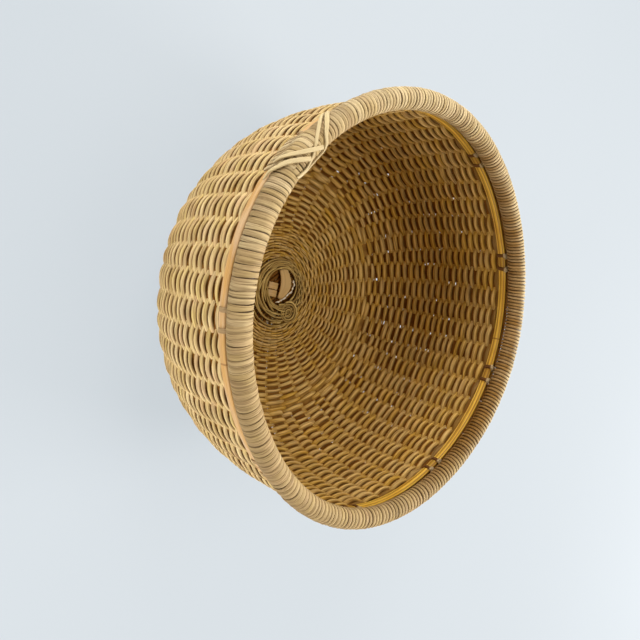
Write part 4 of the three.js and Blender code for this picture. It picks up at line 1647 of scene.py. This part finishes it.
@dataclass
class BaseEye(Assembly):
    """Rounds of fine strand over the crossed rods, a strip across their eye, and rounds underneath."""

    seat: float = 5.5 * MM
    inner_radius: float = 13.9 * MM
    outer_radius: float = 26.3 * MM
    pitch: float = 2.4 * MM
    half_width: float = 0.85 * MM
    round_lift: float = 0.9 * MM
    round_stray: float = 0.32 * MM
    round_spread: float = 0.22 * MM
    round_knot: float = 0.14
    round_tone: float = 0.4
    eye: tuple[float, float] = (-4.5 * MM, 3.2 * MM)
    steps: int = 144
    sides: int = 8
    width_spread: float = 0.2
    tone_spread: float = 0.34
    rods_crossed: float = 17.5
    woven_from: float = 15.0 * MM
    woven_run: float = 3.0 * MM
    woven_wave: float = 0.55 * MM
    woven_darkness: float = 0.85
    loose: int = 44
    loose_steps: int = 20
    loose_limit: float = 0.3
    curl_place: tuple[float, float] = (14.2 * MM, 12.8 * MM)
    curl_turns: float = 3.6
    curl_start: float = 1.3 * MM
    curl_pitch: float = 1.95 * MM
    curl_half_width: float = 0.8 * MM
    short_strips: tuple[float, float] = (-4.3 * MM, 1.4 * MM)
    short_half_width: float = 2.55 * MM
    slit_light_places: tuple[tuple[float, float], ...] = (
        (-10.8, 12.1), (-7.1, 14.1), (-2.2, 12.3), (2.4, 7.7), (6.5, 3.0), (7.8, -0.8),
    )
    slit_light_lift: float = 2.4 * MM
    under_loops: float = 17.0
    under_start: float = 3.2 * MM
    under_pitch: float = 2.6 * MM
    under_stray: float = 0.25 * MM
    under_inset: float = 1.7 * MM
    under_half_width: float = 1.55 * MM
    seed: ClassVar[int] = 61

    def build(
        self,
        strand: bpy.types.Material,
        strip: bpy.types.Material,
        slit_light: bpy.types.Material,
        under: bpy.types.Material,
    ) -> None:
        """Make the rounds, the strip and its neighbours, and the underside.

        Args:
            strand: Finish of the rounds.
            strip: Finish of the strip.
            slit_light: Finish of the pale beads along the strip, painted light for light through the slit
                there.
            under: Finish of the rounds underneath.
        """
        mesh = StrandMesh()
        self._rounds(mesh)
        for _ in range(self.loose):
            self._loose_end(mesh)
        self._curl(mesh)
        settle(mesh.piece("eye_rounds", strand), Slot.BASE_STRAND, "base_coil")
        self._strip(strip)
        self._slit_light(slit_light)
        self._underside(under)

    def _loop(
        self,
        mesh: StrandMesh,
        radius: np.ndarray,
        turn: np.ndarray,
        height: np.ndarray,
        half: float,
        tone: float,
        dive: np.ndarray | float = 0.0,
    ) -> None:
        """Add a strand that goes round the base, its inner rounds about the eye.

        Args:
            mesh: The mesh that it goes into.
            radius: Distance from the middle.
            turn: Turns from its start.
            height: Height of its centre.
            half: Half its width.
            tone: How pale it is.
            dive: How dark the painted shade is where it passes under a rod.
        """
        angle = turn * TURN
        near = ramp(self.outer_radius - radius, 0.0, self.outer_radius - self.inner_radius)
        path = polar(radius, angle, height)
        path[:, :2] += near[:, None] * np.array(self.eye)
        self._lay(mesh, path, outward(angle), half, tone, dive=dive)

    def _lay(
        self,
        mesh: StrandMesh,
        path: np.ndarray,
        across: np.ndarray,
        half: float,
        tone: float,
        facing: float = -1.0,
        dive: np.ndarray | float = 0.0,
    ) -> None:
        """Add an uneven strand along a path.

        Args:
            mesh: The mesh that it goes into.
            path: Its centre line.
            across: Direction of its width.
            half: Half its width.
            tone: How pale it is.
            facing: 1 for the outside of the bowl, -1 for the inside.
            dive: How dark the painted shade is where it passes under a rod.
        """
        count = len(path)
        at = np.arange(count)
        knots = np.linspace(0, count - 1, max(count // 6, 2))
        spread = np.clip(self.uneven(at, knots, 1.0, self.width_spread), 0.7, 1.3)
        tones = np.clip(self.uneven(at, knots, tone, self.tone_spread), 0.0, 1.0)
        rings = rings_along(path, across, half * spread, 0.8 * half * spread, self.sides, 0.9)
        # painted shade along the strand's edges and where it passes under a rod
        deep = np.maximum(edges(self.sides, 2.0), np.reshape(dive, (-1, 1)))
        mesh.add(rings, tone=tones, facing=facing, deep=deep)

    def _rounds(self, mesh: StrandMesh) -> None:
        """Lay the rounds over the crossing; the outer ones weave over and under its rods on one side.

        Args:
            mesh: The mesh that they go into.
        """
        loops = (self.outer_radius - self.inner_radius) / self.pitch
        turn = np.linspace(0.0, loops, int(loops * self.steps))
        knots = np.arange(0.0, loops + 0.2, self.round_knot)
        radius = self.inner_radius + turn * self.pitch
        radius += self.uneven(turn, knots, 0.0, self.round_stray)
        share = ramp(radius, self.inner_radius, self.outer_radius - self.inner_radius)
        height = self.seat + self.round_lift * (1.0 + np.sin(share * math.pi))
        height += self.uneven(turn, knots, 0.0, self.round_spread)
        woven = ramp(radius, self.woven_from, self.woven_run)
        woven *= np.clip(0.4 + np.sin(turn * TURN), 0.0, 1.0)
        wave = np.cos(self.rods_crossed * turn * TURN) * woven
        height += self.woven_wave * wave
        # painted shade where the round passes under a rod
        dive = self.woven_darkness * np.clip(-wave, 0.0, 1.0)
        self._loop(mesh, radius, turn, height, self.half_width, self.round_tone, dive)

    def _loose_end(self, mesh: StrandMesh) -> None:
        """Add a short arched end on the rounds, unless it falls on their woven side.

        Args:
            mesh: The mesh that it goes into.
        """
        start = self.random.random()
        ends = self.random.uniform(14.0, 24.5, 2) * MM
        part = np.linspace(0.0, self.random.uniform(0.14, 0.36), self.loose_steps)
        if math.sin((start + 0.5 * part[-1]) * TURN) > self.loose_limit:
            return
        radius = np.linspace(ends[0], ends[0] + 0.6 * (ends[1] - ends[0]), self.loose_steps)
        arch = np.sin(np.linspace(0.0, math.pi, self.loose_steps))
        half = self.random.uniform(0.42, 0.85) * MM
        height = self.seat + (1.0 + self.random.uniform(0.5, 1.5) * arch) * MM
        self._loop(mesh, radius, start + part, height, half, self.random.uniform(0.1, 1.0))

    def _curl(self, mesh: StrandMesh) -> None:
        """Add the strand's end, curled up beside the eye.

        Args:
            mesh: The mesh that it goes into.
        """
        turn = np.linspace(0.0, self.curl_turns, 100)
        angle = turn * TURN
        radius = self.curl_start + self.curl_pitch * turn
        radius += self.uneven(turn, np.arange(0, 4, 0.15), 0.0, 0.3 * MM)
        lift = self.uneven(turn, np.arange(0, 4, 0.2), 2.5, 0.35)
        path = polar(radius, angle, self.seat + lift * MM)
        path[:, :2] += np.array(self.curl_place)
        self._lay(mesh, path, outward(angle), self.curl_half_width, 0.45)

    def _strip(self, material: bpy.types.Material) -> None:
        """Make the arched strip and the two short ones beside it.

        Args:
            material: Their finish.
        """
        mesh = StrandMesh()
        share = np.linspace(0.0, 1.0, 15)
        arch = np.sin(share * math.pi)
        x = (-18.1 + 23.0 * share) * MM
        y = (1.6 + 3.4 * arch + 1.4 * share) * MM
        z = self.seat + (0.3 + 1.9 * arch) * MM
        half = (3.6 + 1.5 * arch - 1.6 * share**4) * MM
        self._plank(mesh, np.stack([x, y, z], -1), (0.0, 1.0, 0.0), half, 0.7 * MM, 0.6)
        share = np.linspace(0.0, 1.0, 9)
        y = (-8.9 + 9.0 * share) * MM
        z = self.seat + (-0.6 + 0.9 * np.sin(share * math.pi)) * MM
        for middle in self.short_strips:
            path = np.stack([middle + 0.3 * MM * share, y, z], -1)
            self._plank(mesh, path, (1.0, 0.0, 0.0), self.short_half_width, 0.6 * MM, 0.8)
        settle(mesh.piece("eye_strip", material), Slot.BASE_STRIP, "base_tuck_strip")

    def _slit_light(self, material: bpy.types.Material) -> None:
        """Make pale beads along the strip's cut edge, painted light for light that shows through the slit
        there.

        Args:
            material: Its finish.
        """
        spots = np.array(self.slit_light_places) * MM
        height = np.full(len(spots), self.seat + self.slit_light_lift)
        path = cut_corners(np.column_stack([spots, height]), 3)
        step = np.arange(len(path))
        bead = (0.52 + 0.26 * np.sin(step * 1.3)) * MM
        path[:, 1] += 0.4 * MM * np.cos(step * 0.65)
        mesh = StrandMesh()
        rings = rings_along(path, (0.0, 0.0, 1.0), bead, bead, 6)
        mesh.add(rings, tone=1.0, facing=1.0, deep=0.0)
        settle(mesh.piece("eye_painted_slit_light", material), Slot.BASE_STRAND)

    @staticmethod
    def _plank(
        mesh: StrandMesh,
        path: np.ndarray,
        across: Place,
        half: np.ndarray | float,
        depth: float,
        tone: float,
    ) -> None:
        """Add a flat strip with half its width and thickness, and its tone."""
        mesh.add(rings_along(path, across, half, depth, 16, 0.35), tone=tone, facing=0.0, deep=0.0)

    def _underside(self, material: bpy.types.Material) -> None:
        """Make the rounds that close the flat underside.

        Args:
            material: Their finish.
        """
        mesh = StrandMesh()
        turn = np.linspace(0.0, self.under_loops, int(self.under_loops * self.steps))
        knots = np.arange(0.0, self.under_loops + 0.2, 0.2)
        climb = self.under_start + turn * self.under_pitch - self.bowl.base_radius
        climb += self.uneven(turn, knots, 0.0, self.under_stray)
        place = self.bowl.at_climb(climb, self.under_inset)
        path = polar(place[:, 0], turn * TURN, place[:, 1])
        across = polar(-place[:, 3], turn * TURN, place[:, 2])
        self._lay(mesh, path, across, self.under_half_width, 0.5, 1.0)
        settle(mesh.piece("base_rounds", material), Slot.WEAVE_OUTSIDE, "outer_weave")


@dataclass(frozen=True)
class Lamp:
    """A soft square lamp that is aimed at the middle of the basket."""

    name: str
    place: Place
    size: float
    power: float


@dataclass
class Studio:
    """Pale floor, soft light from one side and the camera at the photograph's angle."""

    floor_size: float = 6.0
    camera_place: Place = (0.0, -312.9 * MM, 378.6 * MM)
    camera_turn: Place = (-11.65, -43.01, 104.27)
    lens: float = 36.0
    sensor: float = 36.0
    world: Colour = (1.0, 0.88, 0.66)
    world_strength: float = 0.24
    sky: Colour = (0.67, 0.74, 0.795)
    aim: Place = (0.0, 0.0, 0.07)
    lamps: tuple[Lamp, ...] = (
        Lamp("above", (-1.05, -0.25, 0.55), 0.6, 12.0),
        Lamp("left", (-0.30, -1.05, 0.16), 0.6, 7.4),
        Lamp("right", (0.30, 1.50, 0.95), 0.8, 43.0),
        Lamp("below", (0.95, -0.45, 0.14), 0.6, 11.5),
        Lamp("zenith", (-0.07, 0.14, 1.18), 0.6, 6.2),
    )

    def build(self, floor: bpy.types.Material) -> None:
        """Set the floor, the lights and the camera.

        Args:
            floor: The floor's finish.
        """
        self._floor(floor)
        self._world()
        for lamp in self.lamps:
            self._hang(lamp)
        self._camera()

    def _floor(self, material: bpy.types.Material) -> None:
        """Lay the floor.

        Args:
            material: Its finish.
        """
        bpy.ops.object.select_all(action="DESELECT")
        bpy.ops.mesh.primitive_plane_add(size=self.floor_size)
        floor = bpy.context.object
        floor.name = "floor"
        floor.data.materials.append(material)

    def _world(self) -> None:
        """Light the world evenly, behind a pale backdrop."""
        graph = ShaderGraph("studio", bpy.data.worlds.new("studio"))
        glow = {"Color": opaque(self.world), "Strength": self.world_strength}
        light = graph.node("ShaderNodeBackground", {}, glow)
        sky = graph.node("ShaderNodeBackground", {}, {"Color": opaque(self.sky), "Strength": 1.0})
        eye = graph.node("ShaderNodeLightPath", {}, {}, "Is Camera Ray")
        both = graph.node("ShaderNodeMixShader", {}, {0: eye, 1: light, 2: sky})
        bpy.context.scene.world = graph.close(both, "ShaderNodeOutputWorld")

    def _hang(self, lamp: Lamp) -> None:
        """Hang one soft lamp.

        Args:
            lamp: Its place, size and power.
        """
        bpy.ops.object.light_add(type="AREA", location=lamp.place)
        made = bpy.context.object
        made.name = lamp.name
        made.data.size = lamp.size
        made.data.energy = lamp.power
        made.visible_camera = False
        aim = Vector(self.aim) - Vector(lamp.place)
        made.rotation_euler = aim.to_track_quat("-Z", "Y").to_euler()

    def _camera(self) -> None:
        """Place the camera."""
        data = bpy.data.cameras.new("camera")
        data.lens = self.lens
        data.sensor_width = self.sensor
        data.clip_start = 0.01
        camera = bpy.data.objects.new("camera", data)
        camera.location = self.camera_place
        camera.rotation_euler = tuple(math.radians(angle) for angle in self.camera_turn)
        bpy.context.scene.collection.objects.link(camera)
        bpy.context.scene.camera = camera
        bpy.context.scene.view_settings.view_transform = "Standard"


def main() -> None:
    """Load the frame, build each sub-assembly and set the scene."""
    logging.basicConfig(level=logging.INFO, format="%(name)s: %(message)s")
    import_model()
    bowl = Bowl.from_frame(base_radius=30.97 * MM)
    plan = StakePlan(bowl)
    LOG.info("bowl %s", bowl)
    grass = WEAVE_FINISH.material()
    wrap = WRAP_FINISH.material()
    Weave(bowl, plan).build(grass)
    Stakes(bowl, plan).build(STAKE_FINISH.material())
    rim = Rim(bowl)
    rim.build(wrap, CORE_FINISH.material())
    lashings = Lashings(bowl, plan)
    lashings.build(LASHING_FINISH.material())
    outer_hoop = Hoop(
        bowl,
        Face.OUTSIDE,
        "cane_hoop_outside",
        "outer_hoop",
        Slot.HOOP_OUTSIDE,
        top_drop=8.8 * MM,
        height=5.1 * MM,
        outer_inset=-0.6 * MM,
    )
    outer_hoop.build(OUTER_CANE.material())
    inner_hoop = Hoop(
        bowl,
        Face.INSIDE,
        "cane_hoop_inside",
        "inner_hoop",
        Slot.HOOP_INSIDE,
        top_drop=7.9 * MM,
        height=5.5 * MM,
        outer_inset=3.4 * MM,
        tied_at=lashings.angles(),
    )
    inner_hoop.build(INNER_CANE.material())
    Knot(bowl, rim).build(BINDING_FINISH.material(), wrap)
    BaseEye(bowl).build(COIL_FINISH.material(), STRIP_CANE.material(), SLIT_LIGHT_FINISH.material(), grass)
    Studio().build(FLOOR_FINISH.material())


if __name__ == "__main__":
    main()
